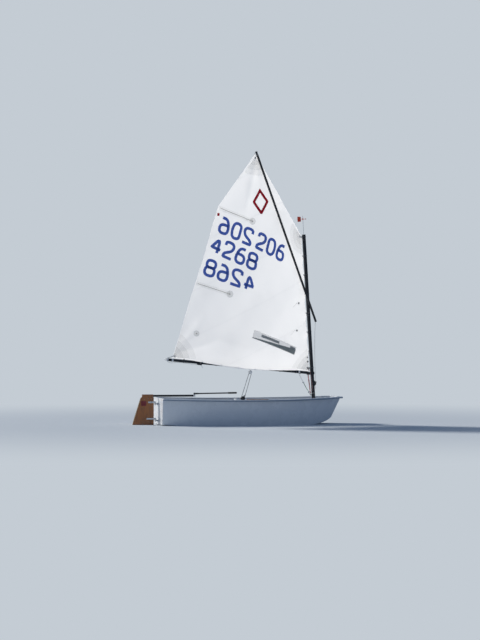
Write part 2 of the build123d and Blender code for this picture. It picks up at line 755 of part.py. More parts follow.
def boom_end_cap():
    """Plug in the boom's after end with a rim and an eye for the line that stretches the sail's foot."""
    radius = BOOM_DIAMETER / 2
    rim = rod(boom_point(BOOM_END + SEAT), boom_point(BOOM_END + BOOM_RIM), radius + 2)
    plug = rod(boom_point(BOOM_END - 40), boom_point(BOOM_END + 1), radius - BOOM_WALL - SEAT)
    eye = Vector(*boom_point(BOOM_END + BOOM_RIM + BOOM_EYE))
    side = Vector(0, BOOM_EYE_HALF, 0)
    neck = rod(boom_point(BOOM_END + BOOM_RIM - 1), eye, BOOM_EYE_HALF - 1)
    disc = rod(eye - side, eye + side, BOOM_EYE_OUTER)
    return rim + plug + neck + disc - rod(eye - 3 * side, eye + 3 * side, BOOM_EYE_BORE)


BOOM_BLOCK_ALONG = 905
BOOM_BLOCK_DROP = 62
BOOM_BLOCK_RADIUS = 20


def boom_block():
    """Main sheet block that hangs from a strap round the boom."""
    outer = BOOM_DIAMETER / 2 + SEAT + 3
    strap = rod(boom_point(BOOM_BLOCK_ALONG - 8), boom_point(BOOM_BLOCK_ALONG + 8), outer, outer - 3)
    middle = boom_point(BOOM_BLOCK_ALONG, BOOM_BLOCK_DROP)
    gap = 7
    top = boom_point(BOOM_BLOCK_ALONG, BOOM_DIAMETER / 2 + 2)
    boom_room = rod(boom_point(BOOM_BLOCK_ALONG - 40), boom_point(BOOM_BLOCK_ALONG + 40), outer - 1)
    x, _, z = middle
    neck = block((x - 5, -4, z + BOOM_BLOCK_RADIUS), (x + 5, 4, top[2] + 5)) - boom_room
    yoke = block((x - 8, -gap - 3, z), (x + 8, gap + 3, z + BOOM_BLOCK_RADIUS + 4))
    yoke -= block((x - 9, -gap, z - 1), (x + 9, gap, z + BOOM_BLOCK_RADIUS))
    body = strap + neck + yoke + block_cheeks(middle, BOOM_BLOCK_RADIUS, gap)
    return body, sheave(middle, BOOM_BLOCK_RADIUS - 2, gap - 1)


def sprit_lee(aft):
    """How far to leeward the sprit's axis lies, where it touches the mast in passing."""
    touch = (MAST_DIAMETER + SPRIT_DIAMETER) / 2 + SEAT
    splay = radians(SPRIT_SPLAY)
    return touch / cos(splay) + aft * tan(splay)


def sprit_point(share, beyond=0):
    """Point on the sprit's axis from heel to tip, or a distance beyond it."""
    heel = Vector(*rig_point(*SPRIT_HEEL, sprit_lee(SPRIT_HEEL[0])))
    tip = Vector(*rig_point(*SPRIT_TIP, sprit_lee(SPRIT_TIP[0])))
    return heel + (tip - heel) * share + (tip - heel).normalized() * beyond


def sprit_parts():
    radius = SPRIT_DIAMETER / 2
    tube = rod(sprit_point(0), sprit_point(1), radius, radius - SPRIT_WALL)
    ends = []
    for share, out in ((0, -1), (1, 1)):
        cap = rod(sprit_point(share, out * SEAT), sprit_point(share, out * 22), radius)
        plug = rod(sprit_point(share, -out * 30), sprit_point(share, out * 1), radius - SPRIT_WALL - SEAT)
        ends.append(cap + plug)
    return tube, ends


def sail_row(row):
    """Thin curved strip from luff to leech at one height, bulging to leeward."""
    luff = Vector(*rig_point(row[0], row[1], row[2]))
    leech = Vector(*rig_point(row[3], row[4], row[5]))
    sag = FOOT_SAG if row is SAIL_ROWS[0] else 0
    bulge = Vector(0, -(leech - luff).length * row[6], -sag)
    belly = (luff + leech) / 2 + bulge
    back = bulge.normalized() * -SAIL_THICKNESS
    edges = [
        ThreePointArc(luff, belly, leech),
        Line(leech, leech + back),
        ThreePointArc(leech + back, belly + back, luff + back),
        Line(luff + back, luff),
    ]
    return make_face(edges)


def sail():
    return loft([sail_row(row) for row in SAIL_ROWS], ruled=True)


TIE_CORD = 2
TIE_TOP = 2320
TIE_PITCH = 240
TIE_COUNT = 7


def luff_aft(up):
    """How far aft of the mast's axis the luff lies at a height."""
    for low, high in zip(SAIL_ROWS, SAIL_ROWS[1:]):
        if low[1] <= up <= high[1]:
            return low[0] + (high[0] - low[0]) * (up - low[1]) / (high[1] - low[1])


def luff_ties():
    """Cord rings round the mast, each knotted at the sail's luff."""
    ring_radius = MAST_DIAMETER / 2 + SEAT + TIE_CORD
    ties = []
    for index in range(TIE_COUNT):
        up = TIE_TOP - index * TIE_PITCH
        ring = Pos(0, 0, up) * Torus(ring_radius, TIE_CORD)
        middle = SAIL_THICKNESS / 2
        knot = rod((-ring_radius, middle, up), (-luff_aft(up) + SEAT, middle, up), TIE_CORD)
        ties.append(ring + knot)
    return ties


CLEAT_UP = 440          # the sprit line's cleat on the front of the mast
CLEAT_LENGTH = 62
CLEAT_DEPTH = 17
CLEAT_HALF = 9
LINE_EYE_UP = 1480      # the eye that the sprit line hangs from
OUTHAUL_ALONG = 1640
VANG_ALONG = 185


def cleat():
    """Jaw cleat standing on a round spar's side: two ribs with a groove between them that narrows."""
    outline = (
        (0, -CLEAT_HALF),
        (CLEAT_DEPTH, -CLEAT_HALF),
        (CLEAT_DEPTH, -CLEAT_HALF + 4),
        (6, -1.5),
        (6, 1.5),
        (CLEAT_DEPTH, CLEAT_HALF - 4),
        (CLEAT_DEPTH, CLEAT_HALF),
        (0, CLEAT_HALF),
    )
    return slab((outline, (0, 3, 1, 1, 1, 1, 3, 0)), Plane.XY, 0, CLEAT_LENGTH)


def line_eye():
    """Half ring on a small pad, standing on a round spar's side."""
    pad = block((0, -10, -16), (6, 10, 16))
    ring = Pos(6, 0, 0) * Rotation(90, 0, 0) * Torus(8, 2.5)
    return pad + (ring & block((0, -20, -20), (20, 20, 20)))


def mast_fittings():
    """Cleat and eye for the sprit's line on the front of the mast, hollowed to fit it."""
    room = rod((0, 0, 0), (0, 0, MAST_LENGTH), MAST_DIAMETER / 2 + SEAT)
    front = MAST_DIAMETER / 2 - 5
    return [Pos(front, 0, CLEAT_UP) * cleat() - room, Pos(front, 0, LINE_EYE_UP) * line_eye() - room]


def boom_fittings():
    """Cleat for the outhaul and eye for the vang under the boom, hollowed to fit it."""
    room = rod(boom_point(BOOM_START), boom_point(BOOM_END), BOOM_DIAMETER / 2 + SEAT)
    under = BOOM_DIAMETER / 2 - 4
    turn = Rotation(0, 90 + BOOM_RISE, 0)
    outhaul = Pos(*boom_point(OUTHAUL_ALONG, under)) * turn * cleat()
    vang = Pos(*boom_point(VANG_ALONG, under)) * turn * line_eye()
    return [outhaul - room, vang - room]


def vane_rod():
    low = MAST_LENGTH + SEAT
    return rod((0, 0, low), (0, 0, MAST_LENGTH + VANE_HEIGHT + 42), 2)


def wind_vane():
    """Hub on the rod with an arm, a flag and a counterweight."""
    level = MAST_LENGTH + VANE_HEIGHT
    hub = rod((0, 0, level - 12), (0, 0, level + 12), 6)
    arm = rod((-84, 0, level), (44, 0, level), 2)
    outline = ((-30, level - 30), (-78, level - 34), (-78, level + 34), (-30, level + 30))
    flag = slab((outline, 6), Plane.XZ, -1, 1)
    weight = rod((34, 0, level), (46, 0, level), 5)
    hole = rod((0, 0, level - 13), (0, 0, level + 13), 2 + PIN_CLEARANCE)
    return hub + arm + flag + weight - hole


def write_hull():
    save("hull_shell", hull_shell())
    save("gunwale_port", side_rail(1))
    save("gunwale_starboard", side_rail(-1))
    save("gunwale_bow", bow_rail())
    save("gunwale_stern", stern_rail())
    save("corner_knees", *corner_knees())
    save("midship_frame", midship_frame())
    save("daggerboard_case", daggerboard_case())
    save("mast_thwart", mast_thwart())
    save("mast_collar", mast_collar())
    save("mast_step", mast_step())
    save("painter_eye", painter_eye())
    save("buoyancy_bag_port", side_bag(1))
    save("buoyancy_bag_starboard", side_bag(-1))
    save("buoyancy_bag_bow", bow_bag())
    save("bag_straps_port", *side_bag_straps(1))
    save("bag_straps_starboard", *side_bag_straps(-1))
    save("toe_straps", toe_strap(1), toe_strap(-1))
    frame, wheel = ratchet_block()
    save("ratchet_block", frame)
    save("ratchet_sheave", wheel)
    save("gudgeon_upper", gudgeon(PINTLE_LEVELS[0]))
    save("gudgeon_lower", gudgeon(PINTLE_LEVELS[1]))


def write_steering():
    save("rudder_blade", rudder_blade())
    save("pintle_upper", pintle(PINTLE_LEVELS[0], 72))
    save("pintle_lower", pintle(PINTLE_LEVELS[1], 92))
    save("rudder_head", rudder_head())
    save("tiller", tiller())
    save("tiller_end", tiller_end())
    for name, piece in zip(("extension_socket", "extension_tube", "extension_grip"), extension_parts()):
        save(name, piece)


def write_board():
    save("daggerboard", daggerboard())
    save("daggerboard_battens", *board_battens())


def write_rig():
    for name, piece in zip(("mast", "mast_heel_plug", "mast_head_plug"), mast_parts()):
        save(name, RIG * piece)
    save("boom", RIG * boom())
    save("boom_jaw", RIG * boom_jaw())
    save("boom_end_cap", RIG * boom_end_cap())
    body, wheel = boom_block()
    save("boom_block", RIG * body)
    save("boom_block_sheave", RIG * wheel)
    tube, ends = sprit_parts()
    save("sprit", RIG * tube)
    save("sprit_ends", *(RIG * end for end in ends))
    save("sail", RIG * sail())
    save("luff_ties", *(RIG * tie for tie in luff_ties()))
    save("mast_fittings", *(RIG * piece for piece in mast_fittings()))
    save("boom_fittings", *(RIG * piece for piece in boom_fittings()))
    save("wind_vane_rod", RIG * vane_rod())
    save("wind_vane", RIG * wind_vane())


os.makedirs("parts", exist_ok=True)
write_hull()
write_steering()
write_board()
write_rig()
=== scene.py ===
import bmesh
import bpy
import numpy as np
from bpy.props import FloatProperty, FloatVectorProperty, IntProperty, PointerProperty
from bpy.types import Operator, Panel, PropertyGroup
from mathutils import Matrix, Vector
from mathutils.bvhtree import BVHTree


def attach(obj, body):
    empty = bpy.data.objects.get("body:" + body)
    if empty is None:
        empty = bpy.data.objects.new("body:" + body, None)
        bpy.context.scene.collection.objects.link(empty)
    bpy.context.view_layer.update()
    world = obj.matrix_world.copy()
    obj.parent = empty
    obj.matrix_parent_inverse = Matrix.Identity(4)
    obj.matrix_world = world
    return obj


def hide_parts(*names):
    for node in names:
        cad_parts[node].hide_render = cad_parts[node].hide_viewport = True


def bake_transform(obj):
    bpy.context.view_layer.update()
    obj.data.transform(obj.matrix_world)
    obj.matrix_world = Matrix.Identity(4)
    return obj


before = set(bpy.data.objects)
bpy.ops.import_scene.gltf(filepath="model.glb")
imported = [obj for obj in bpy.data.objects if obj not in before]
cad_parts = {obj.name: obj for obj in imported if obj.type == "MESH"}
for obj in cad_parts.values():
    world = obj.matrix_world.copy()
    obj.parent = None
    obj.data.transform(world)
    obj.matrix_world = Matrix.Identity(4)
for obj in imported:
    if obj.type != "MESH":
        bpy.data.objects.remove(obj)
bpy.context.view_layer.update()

bl_info = {
    "name": "Junior Sailing Dinghy",
    "version": (1, 0, 0),
    "blender": (4, 5, 0),
    "location": "View3D > Sidebar > Dinghy",
    "description": "Sail, rigging, bags and finishes of a small sprit-rigged dinghy",
    "category": "Add Mesh",
}

# The rig's own frame, in metres: aft of the mast's axis, up from its foot, to leeward.
MAST_FOOT = np.array((0.8555, 0.0, 0.037))
RAKE = np.radians(3.5)
SWING = np.radians(17.7)
BACK = np.array((-np.cos(RAKE), 0.0, -np.sin(RAKE)))
STARBOARD = np.array((0.0, -1.0, 0.0))
AFT = np.cos(SWING) * BACK + np.sin(SWING) * STARBOARD
LEE = -np.sin(SWING) * BACK + np.cos(SWING) * STARBOARD
UP = np.array((-np.sin(RAKE), 0.0, np.cos(RAKE)))

MAST_RADIUS = 0.0225
BOOM_RADIUS = 0.0175
BOOM_RISE = np.radians(8.4)
BOOM_HEIGHT = 0.6
BOOM_ALONG = np.cos(BOOM_RISE) * AFT + np.sin(BOOM_RISE) * UP
SPRIT_RADIUS = 0.01375
SPRIT_HEEL = np.array((-0.080, 1.265))
SPRIT_TIP = np.array((0.698, 3.376))
SPRIT_SPLAY = np.radians(9.8)
SPRIT_OFFSET = 0.03655 / np.cos(SPRIT_SPLAY)

# Luff aft, up, lee, then leech aft, up, lee, then fullness as a share of the chord.
SAIL_ROWS = np.array((
    (0.041, 0.628, 0.000, 1.957, 0.914, 0.000, 0.040),
    (0.041, 0.720, 0.000, 1.924, 1.000, 0.004, 0.062),
    (0.040, 1.050, 0.000, 1.813, 1.290, 0.020, 0.078),
    (0.038, 1.500, 0.000, 1.643, 1.730, 0.050, 0.075),
    (0.035, 1.930, 0.000, 1.465, 2.190, 0.085, 0.060),
    (0.033, 2.327, 0.000, 1.302, 2.640, 0.115, 0.045),
    (0.145, 2.502, 0.024, 1.264, 2.740, 0.125, 0.038),
    (0.257, 2.677, 0.048, 1.127, 2.900, 0.140, 0.030),
    (0.482, 3.026, 0.096, 0.927, 3.130, 0.150, 0.020),
    (0.690, 3.350, 0.139, 0.722, 3.360, 0.140, 0.020),
))
LUFF, LEECH, FULLNESS = SAIL_ROWS[:, :3], SAIL_ROWS[:, 3:6], SAIL_ROWS[:, 6]
LEECH_STEPS = np.linalg.norm(np.diff(LEECH, axis=0), axis=1)
KNOTS = np.concatenate([[0.0], np.cumsum(LEECH_STEPS)]) / LEECH_STEPS.sum()
CORNER_ROW = 6
# Where the cloth starts above its shelf on the boom, as a share of the leech.
SHELF_START = 0.004
# The cloth's own map in pattern units per metre.
CLOTH_UV = 0.25
TIE_STEP = 0.240
TIE_UPS = 2.320 - TIE_STEP * np.arange(7)

# Creases of the sail: start aft, up, end aft, up, width, depth to leeward.
CREASES = (
    (0.700, 3.300, 0.880, 2.650, 0.045, 0.010),
    (0.700, 3.300, 0.620, 2.720, 0.040, -0.006),
    (1.930, 0.960, 1.500, 1.420, 0.050, -0.007),
    (1.930, 0.960, 1.350, 1.090, 0.045, 0.007),
    (0.080, 0.700, 0.420, 1.150, 0.040, -0.005),
    (1.620, 1.200, 0.900, 0.900, 0.060, 0.004),
    (1.180, 1.650, 1.620, 1.780, 0.030, -0.003),
    (0.800, 2.530, 1.260, 2.730, 0.030, -0.003),
)
# Slow waves of the cloth: waves per metre aft and up, phase, height.
WAVES = (
    (0.9, 1.3, 0.4, 0.0030),
    (-1.7, 0.8, 1.9, 0.0018),
    (2.6, 2.1, 0.9, 0.0010),
    (3.9, -1.4, 2.7, 0.0007),
)


def rig(aft, up, lee=0.0):
    """Point of the rig's frame in the object's: the mast's foot plus each distance along its direction."""
    parts = np.broadcast_arrays(*(np.asarray(part, float) for part in (aft, up, lee)))
    aft, up, lee = (part[..., None] for part in parts)
    return MAST_FOOT + aft * AFT + up * UP + lee * LEE


def boom_place(along, drop=0.0, lee=0.0):
    """Point along the boom's axis from the mast, below it square to the boom, and to leeward."""
    aft = along * np.cos(BOOM_RISE) + drop * np.sin(BOOM_RISE)
    up = BOOM_HEIGHT + along * np.sin(BOOM_RISE) - drop * np.cos(BOOM_RISE)
    return rig(aft, up, lee)


def sprit_lee(aft):
    """How far to leeward the sprit's axis lies."""
    return SPRIT_OFFSET + aft * np.tan(SPRIT_SPLAY)


def unit(vectors):
    """Vectors of length 1: each divided by its own length."""
    vectors = np.asarray(vectors, float)
    return vectors / np.linalg.norm(vectors, axis=-1, keepdims=True)


def square_to(axis):
    """The axis with length 1 and two directions square to it, each a cross product."""
    axis = unit(axis)
    first = unit(np.cross(axis, (0.3, 0.5, 0.81) if abs(axis[2]) > 0.7 else (0.0, 0.0, 1.0)))
    return axis, first, np.cross(axis, first)


def travelled(points):
    """How far along a line each of its points is: the running sum of its steps."""
    return np.concatenate([[0.0], np.cumsum(np.linalg.norm(np.diff(points, axis=0), axis=1))])


def round_turn(count):
    """Angles of a full turn in equal steps, the last one left out."""
    return 2 * np.pi * np.arange(count) / count


def pairs(rows, columns):
    """Every row's number with every column's, as two grids."""
    return np.meshgrid(rows, columns, indexing="ij")


def through(knots, values, at):
    """Smooth curve through values at knots: cubic pieces whose end slopes are central differences."""
    slopes = np.gradient(values, knots, axis=0)
    piece = np.clip(np.searchsorted(knots, at, side="right") - 1, 0, len(knots) - 2)
    span = knots[piece + 1] - knots[piece]
    s = (at - knots[piece]) / span
    if values.ndim > 1:
        span, s = span[..., None], s[..., None]
    start = (2 * s ** 3 - 3 * s ** 2 + 1) * values[piece] + (s ** 3 - 2 * s ** 2 + s) * span * slopes[piece]
    end = (3 * s ** 2 - 2 * s ** 3) * values[piece + 1] + (s ** 3 - s ** 2) * span * slopes[piece + 1]
    return start + end


def smooth_line(points, count):
    """Smooth line through a few points, spaced evenly by their distances: count points of the cubic curve."""
    points = np.asarray(points, float)
    knots = travelled(points)
    return through(knots, points, np.linspace(0, knots[-1], count))


def soft_step(low, high, value):
    """Goes from 0 to 1 between low and high as 3t^2 - 2t^3."""
    t = np.clip((value - low) / (high - low), 0, 1)
    return t * t * (3 - 2 * t)


def segment_distance(aft, up, start, end):
    """Distance from points to a straight segment of the sail's plane, and how far along it the nearest place
    is as a share, which is the dot product with the segment over its length squared."""
    start, end = np.asarray(start, float), np.asarray(end, float)
    run = end - start
    share = np.clip(((aft - start[0]) * run[0] + (up - start[1]) * run[1]) / (run @ run), 0, 1)
    return np.hypot(aft - start[0] - share * run[0], up - start[1] - share * run[1]), share


def sail_edges(v):
    """Luff and leech at height v: the luff straight between its knots, the leech smooth to its corner."""
    v = np.asarray(v, float)
    luff = np.stack([np.interp(v, KNOTS, LUFF[:, axis]) for axis in range(3)], -1)
    top = KNOTS[CORNER_ROW]
    low = through(KNOTS[:CORNER_ROW + 1], LEECH[:CORNER_ROW + 1], np.minimum(v, top))
    high = np.stack([np.interp(v, KNOTS, LEECH[:, axis]) for axis in range(3)], -1)
    return luff, np.where((v < top)[..., None], low, high)


def sail_flat(u, v):
    """Aft, up and lee of the sail before its small folds: the chord from luff to leech at height v, bulged to
    leeward by fullness times chord times 4u(1-u)(1.3-0.6u), with the foot hanging by 4u(1-u) times its sag.
    Near the foot 4u(1-u) is raised to 1.9, so that its ends stay on the boom."""
    foot_band, foot_sag = 0.09, 0.062
    luff, leech = sail_edges(v)
    chord = np.linalg.norm(leech - luff, axis=-1)
    near_foot = np.clip(1 - v / foot_band, 0, 1) ** 2
    arch = (4 * u * (1 - u)) ** (1 + 0.9 * near_foot)
    place = luff + (leech - luff) * u[..., None]
    place[..., 2] += arch * (1.3 - 0.6 * u) * through(KNOTS, FULLNESS, v) * chord
    place[..., 1] -= foot_sag * arch * near_foot
    return place


def sail_folds(place, settings):
    """Adds the cloth's small shapes, each a distance to leeward or aft: slow waves as sums of sines, creases
    as bell curves across a segment, scallops between the luff's ties, and the groove under the sprit."""
    aft, up, lee = (place[..., axis].copy() for axis in range(3))
    inside = soft_step(0.0, 0.25, aft) * soft_step(3.36, 3.1, up)
    for across, rise, phase, height in WAVES:
        lee += inside * height * np.sin(2 * np.pi * (across * aft + rise * up) + phase)
    for start_aft, start_up, end_aft, end_up, width, depth in CREASES:
        away, share = segment_distance(aft, up, (start_aft, start_up), (end_aft, end_up))
        lee += settings.crease * depth * np.exp(-(away / width) ** 2) * np.sin(np.pi * np.sqrt(share)) ** 0.5
    ties = 2 * np.pi * (up - TIE_UPS[0]) / TIE_STEP
    near_luff = np.exp(-np.abs(aft - 0.035) / 0.09) * soft_step(2.36, 2.30, up) * soft_step(0.80, 0.90, up)
    between = 0.5 - 0.5 * np.cos(ties)
    aft = aft + near_luff * (settings.scallop * between ** 0.7 - 0.006)
    lee += near_luff * 0.004 * np.cos(ties)
    away, _ = segment_distance(aft, up, SPRIT_HEEL, SPRIT_TIP)
    gap, slope, softness = 0.0022, 0.42, 0.003
    limit = sprit_lee(aft) - SPRIT_RADIUS - gap + slope * away
    lee = -softness * np.logaddexp(-lee / softness, -limit / softness)
    return aft, up, lee


def sail_surface(u, v, settings):
    """Point of the sail in the object's frame at u from luff to leech and v from foot to peak."""
    u, v = np.broadcast_arrays(np.asarray(u, float), np.asarray(v, float))
    return rig(*sail_folds(sail_flat(u, v), settings))


def sail_share(aft, up):
    """The u and v of a place on the sail's plane, found by halving the span of v until the height fits."""
    low, high = np.zeros(np.shape(aft)), np.ones(np.shape(aft))
    for _ in range(26):
        v = (low + high) / 2
        luff, leech = sail_edges(v)
        u = np.clip((aft - luff[..., 0]) / (leech[..., 0] - luff[..., 0]), 0.0, 1.0)
        here = sail_flat(u, v)[..., 1]
        low, high = np.where(here < up, v, low), np.where(here < up, high, v)
    return u, v


def on_sail(aft, up, lift, settings):
    """Points lying off the sail by lift, to leeward where it is positive, over places of the sail's plane."""
    aft, up = np.broadcast_arrays(np.asarray(aft, float), np.asarray(up, float))
    u, v = sail_share(aft, up)
    step = 2e-3
    place = sail_surface(u, v, settings)
    fore = sail_surface(np.clip(u - step, 0, 1), v, settings)
    back = sail_surface(np.clip(u + step, 0, 1), v, settings)
    below = sail_surface(u, np.clip(v - step, 0, 1), settings)
    above = sail_surface(u, np.clip(v + step, 0, 1), settings)
    normal = unit(np.cross(back - fore, above - below))
    normal *= np.sign(normal @ LEE)[..., None]
    return place + normal * np.asarray(lift, float)[..., None]


class Shells:
    """Gathers grids of points into one mesh, with the corners' places on the pattern."""

    def __init__(self):
        self.points, self.faces, self.corners, self.total = [], [], [], 0

    def grid(self, points, wrap_rows=False, wrap_columns=False, pattern=None):
        """Joins a grid of points by quads, and round its ends where it wraps. Without a pattern, a step on
        the grid is 0.1 on the piece's map."""
        rows, columns = points.shape[:2]
        row, column = pairs(
            np.arange(rows if wrap_rows else rows - 1), np.arange(columns if wrap_columns else columns - 1),
        )
        row, column = row.ravel(), column.ravel()
        row_next, column_next = row + 1, column + 1
        numbers = np.stack([
            row * columns + column,
            row * columns + column_next % columns,
            row_next % rows * columns + column_next % columns,
            row_next % rows * columns + column,
        ], 1)
        if pattern is None:
            pattern = np.stack(pairs(np.arange(rows + 1), np.arange(columns + 1)), -1) * 0.1
        placed = np.stack([
            pattern[row, column], pattern[row, column_next],
            pattern[row_next, column_next], pattern[row_next, column],
        ], 1)
        self.points.append(points.reshape(-1, 3))
        self.faces.extend((numbers + self.total).tolist())
        self.corners.append(placed.reshape(-1, 2))
        self.total += rows * columns
        return self

    def cap(self, ring, flip=False):
        """Closes a ring of points with a fan of triangles round its middle."""
        count = len(ring)
        number = np.arange(count)
        fan = np.stack([number, (number + 1) % count, np.full(count, count)], 1)
        self.points.append(np.vstack([ring, ring.mean(0)]))
        self.faces.extend(((fan[:, ::-1] if flip else fan) + self.total).tolist())
        self.corners.append(np.zeros((3 * count, 2)))
        self.total += count + 1
        return self

    def piece(self, name, finish, slot, body, closed=True, sharp=0.7):
        """The gathered grids as one object: doubles merged, faces turned outwards on closed shells."""
        mesh = bpy.data.meshes.new(name)
        mesh.from_pydata(np.vstack(self.points).tolist(), [], self.faces)
        layer = mesh.uv_layers.new(name="cut")
        layer.data.foreach_set("uv", np.vstack(self.corners).astype(np.float32).ravel())
        tidy = bmesh.new()
        tidy.from_mesh(mesh)
        bmesh.ops.remove_doubles(tidy, verts=tidy.verts, dist=1e-6)
        bmesh.ops.dissolve_degenerate(tidy, edges=tidy.edges, dist=1e-7)
        if closed:
            bmesh.ops.recalc_face_normals(tidy, faces=tidy.faces)
        tidy.to_mesh(mesh)
        tidy.free()
        mesh.polygons.foreach_set("use_smooth", np.ones(len(mesh.polygons), bool))
        if sharp:
            mesh.set_sharp_from_angle(angle=sharp)
        mesh.materials.append(bpy.data.materials[finish])
        made = bpy.data.objects.new(name, mesh)
        bpy.context.scene.collection.objects.link(made)
        if body:
            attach(made, body)
        return made


def sweep(shells, path, profile, reference, closed=False):
    """Carries a ring of (side, out) offsets along a path: side is the path's direction crossed with the
    reference, and out is side crossed with the path's direction."""
    path = np.asarray(path, float)
    along = unit(np.roll(path, -1, 0) - np.roll(path, 1, 0) if closed else np.gradient(path, axis=0))
    side = unit(np.cross(along, np.broadcast_to(np.asarray(reference, float), path.shape)))
    out = np.cross(side, along)
    profile = np.asarray(profile, float)
    if profile.ndim == 2:
        profile = np.broadcast_to(profile, (len(path),) + profile.shape)
    rings = path[:, None] + profile[..., :1] * side[:, None] + profile[..., 1:] * out[:, None]
    length = travelled(path)
    length = np.append(length, length[-1] * len(path) / (len(path) - 1))
    turn = np.arange(profile.shape[1] + 1) / profile.shape[1]
    shells.grid(rings, closed, True, np.stack(pairs(length, turn), -1))
    if not closed:
        shells.cap(rings[0], True).cap(rings[-1])
    return shells


def ring_profile(radius, sides, flatten=1.0):
    """Circle of points, flattened along the reference by a factor."""
    angle = round_turn(sides)
    return np.stack([np.cos(angle) * radius, np.sin(angle) * radius * flatten], 1)


def cord_line(shells, points, radius, count=40, reference=(0.31, 0.2, 0.93), sides=10):
    """Round line along a smooth path, its two ends rounded off over a radius."""
    path = smooth_line(points, count)
    length = travelled(path)
    nearest = np.minimum(length, length[-1] - length)
    thick = np.sqrt(np.clip(1 - (1 - np.clip(nearest / radius, 0, 1)) ** 2, 0.04, 1))
    profile = ring_profile(radius, sides)[None] * thick[:, None, None]
    return sweep(shells, path, profile, reference)


def ball(shells, middle, radius, lumps, squeeze=(1.0, 1.0, 1.0)):
    """Ball of latitude rings, its radius varied by lumps times the sine of three turns: a knot's outline."""
    tall, turn = pairs(np.linspace(0.02, np.pi - 0.02, 9), round_turn(12))
    size = radius * (1 + lumps * np.sin(3 * turn + 2 * tall))
    place = np.stack([np.sin(tall) * np.cos(turn), np.sin(tall) * np.sin(turn), np.cos(tall)], -1)
    points = np.asarray(middle) + size[..., None] * place * np.asarray(squeeze)
    shells.grid(points, False, True)
    return shells.cap(points[0], True).cap(points[-1])


def around(shells, middle, axis, inner, outer, half, sides, steps):
    """Ring of rounded section round a middle: a circle of radii inner to outer turned about the axis."""
    axis, first, second = square_to(axis)
    turn, wall = pairs(round_turn(sides), round_turn(steps))
    reach = (inner + outer) / 2 + (outer - inner) / 2 * np.cos(wall)
    points = np.asarray(middle) + reach[..., None] * (
        np.cos(turn)[..., None] * first + np.sin(turn)[..., None] * second
    ) + (half * np.sin(wall))[..., None] * axis
    return shells.grid(points, True, True)


def turned(shells, middle, axis, profile, sides):
    """Turned solid: a profile of (radius, distance along the axis) carried round it, its ends closed."""
    axis, first, second = square_to(axis)
    profile = np.asarray(profile, float)
    turn = round_turn(sides)
    round_place = np.cos(turn)[:, None] * first + np.sin(turn)[:, None] * second
    points = np.asarray(middle) + profile[:, 0, None, None] * round_place + profile[:, 1, None, None] * axis
    shells.grid(points, False, True)
    return shells.cap(points[0], True).cap(points[-1])


def round_corners(points, closed):
    """Cuts a flat line's corners: each round puts two points on a run, at a quarter and three quarters."""
    points = np.asarray(points, float)
    for _ in range(3):
        nearer = points if closed else points[:-1]
        farther = np.roll(points, -1, 0) if closed else points[1:]
        cut = np.stack([0.75 * nearer + 0.25 * farther, 0.25 * nearer + 0.75 * farther], 1).reshape(-1, 2)
        points = cut if closed else np.vstack([points[:1], cut, points[-1:]])
    return points


def evenly(points, spacing, closed=False):
    """The same flat line with its points a set distance apart."""
    points = np.asarray(points, float)
    if closed:
        points = np.vstack([points, points[:1]])
    length = travelled(points)
    at = np.linspace(0, length[-1], max(2, int(np.ceil(length[-1] / spacing)) + 1))
    line = np.stack([np.interp(at, length, points[:, axis]) for axis in range(points.shape[1])], 1)
    return line[:-1] if closed else line


def strip_on_sail(shells, line, width, side, settings, lift, closed=False):
    """Flat strip that lies on the sail along a line of its plane: each point goes off to both sides by half
    the width over the cosine of half the corner's turn, and the edges go down into the cloth."""
    line = np.asarray(line, float)
    run = np.roll(line, -1, 0) - line
    back = line - np.roll(line, 1, 0)
    if not closed:
        run[-1], back[0] = run[-2], back[1]
    run, back = unit(run), unit(back)
    middle = unit(run + back)
    normal = np.stack([-middle[:, 1], middle[:, 0]], 1)
    stretch = 1 / np.clip((run * middle).sum(1), 0.5, 1)
    across = np.array((-0.5, -0.5, -0.25, 0.0, 0.25, 0.5, 0.5)) * width
    depth = np.array((0.0, 1.0, 1.0, 1.0, 1.0, 1.0, 0.0)) * lift * side
    places = line[:, None] + across[None, :, None] * (normal * stretch[:, None])[:, None]
    points = on_sail(places[..., 0], places[..., 1], np.broadcast_to(depth, places.shape[:2]), settings)
    return shells.grid(points, closed, False)


def patch_on_sail(shells, corners, side, settings, lift, rows, columns):
    """Four-cornered patch on the sail: places between its corners in equal shares, its rim in the cloth."""
    first, second, third, fourth = (np.asarray(corner, float) for corner in corners)
    s, t = np.meshgrid(np.linspace(0, 1, columns), np.linspace(0, 1, rows), indexing="xy")
    s, t = np.pad(s, 1, mode="edge"), np.pad(t, 1, mode="edge")
    places = (1 - s)[..., None] * ((1 - t)[..., None] * first + t[..., None] * fourth)
    places = places + s[..., None] * ((1 - t)[..., None] * second + t[..., None] * third)
    depth = np.pad(np.full((rows, columns), lift * side), 1)
    return shells.grid(on_sail(places[..., 0], places[..., 1], depth, settings))


def disc_on_sail(shells, middle, radius, side, settings, lift, rings=4, sides=24):
    """Round patch on the sail: rings of growing radius round its middle, the last one in the cloth."""
    reach = np.concatenate([np.linspace(0, 1, rings), [1.0]]) * radius
    turn = round_turn(sides)
    aft = middle[0] + reach[:, None] * np.cos(turn)
    up = middle[1] + reach[:, None] * np.sin(turn)
    depth = np.concatenate([np.full(rings, lift * side), [0.0]])[:, None] + np.zeros(sides)
    return shells.grid(on_sail(aft, up, depth, settings), False, True)


def keep(body, rows, closed=True):
    """Makes one piece of a body from each row: its shells, name, finish and slot."""
    for shells, name, finish, slot in rows:
        shells.piece(name, finish, slot, body, closed)


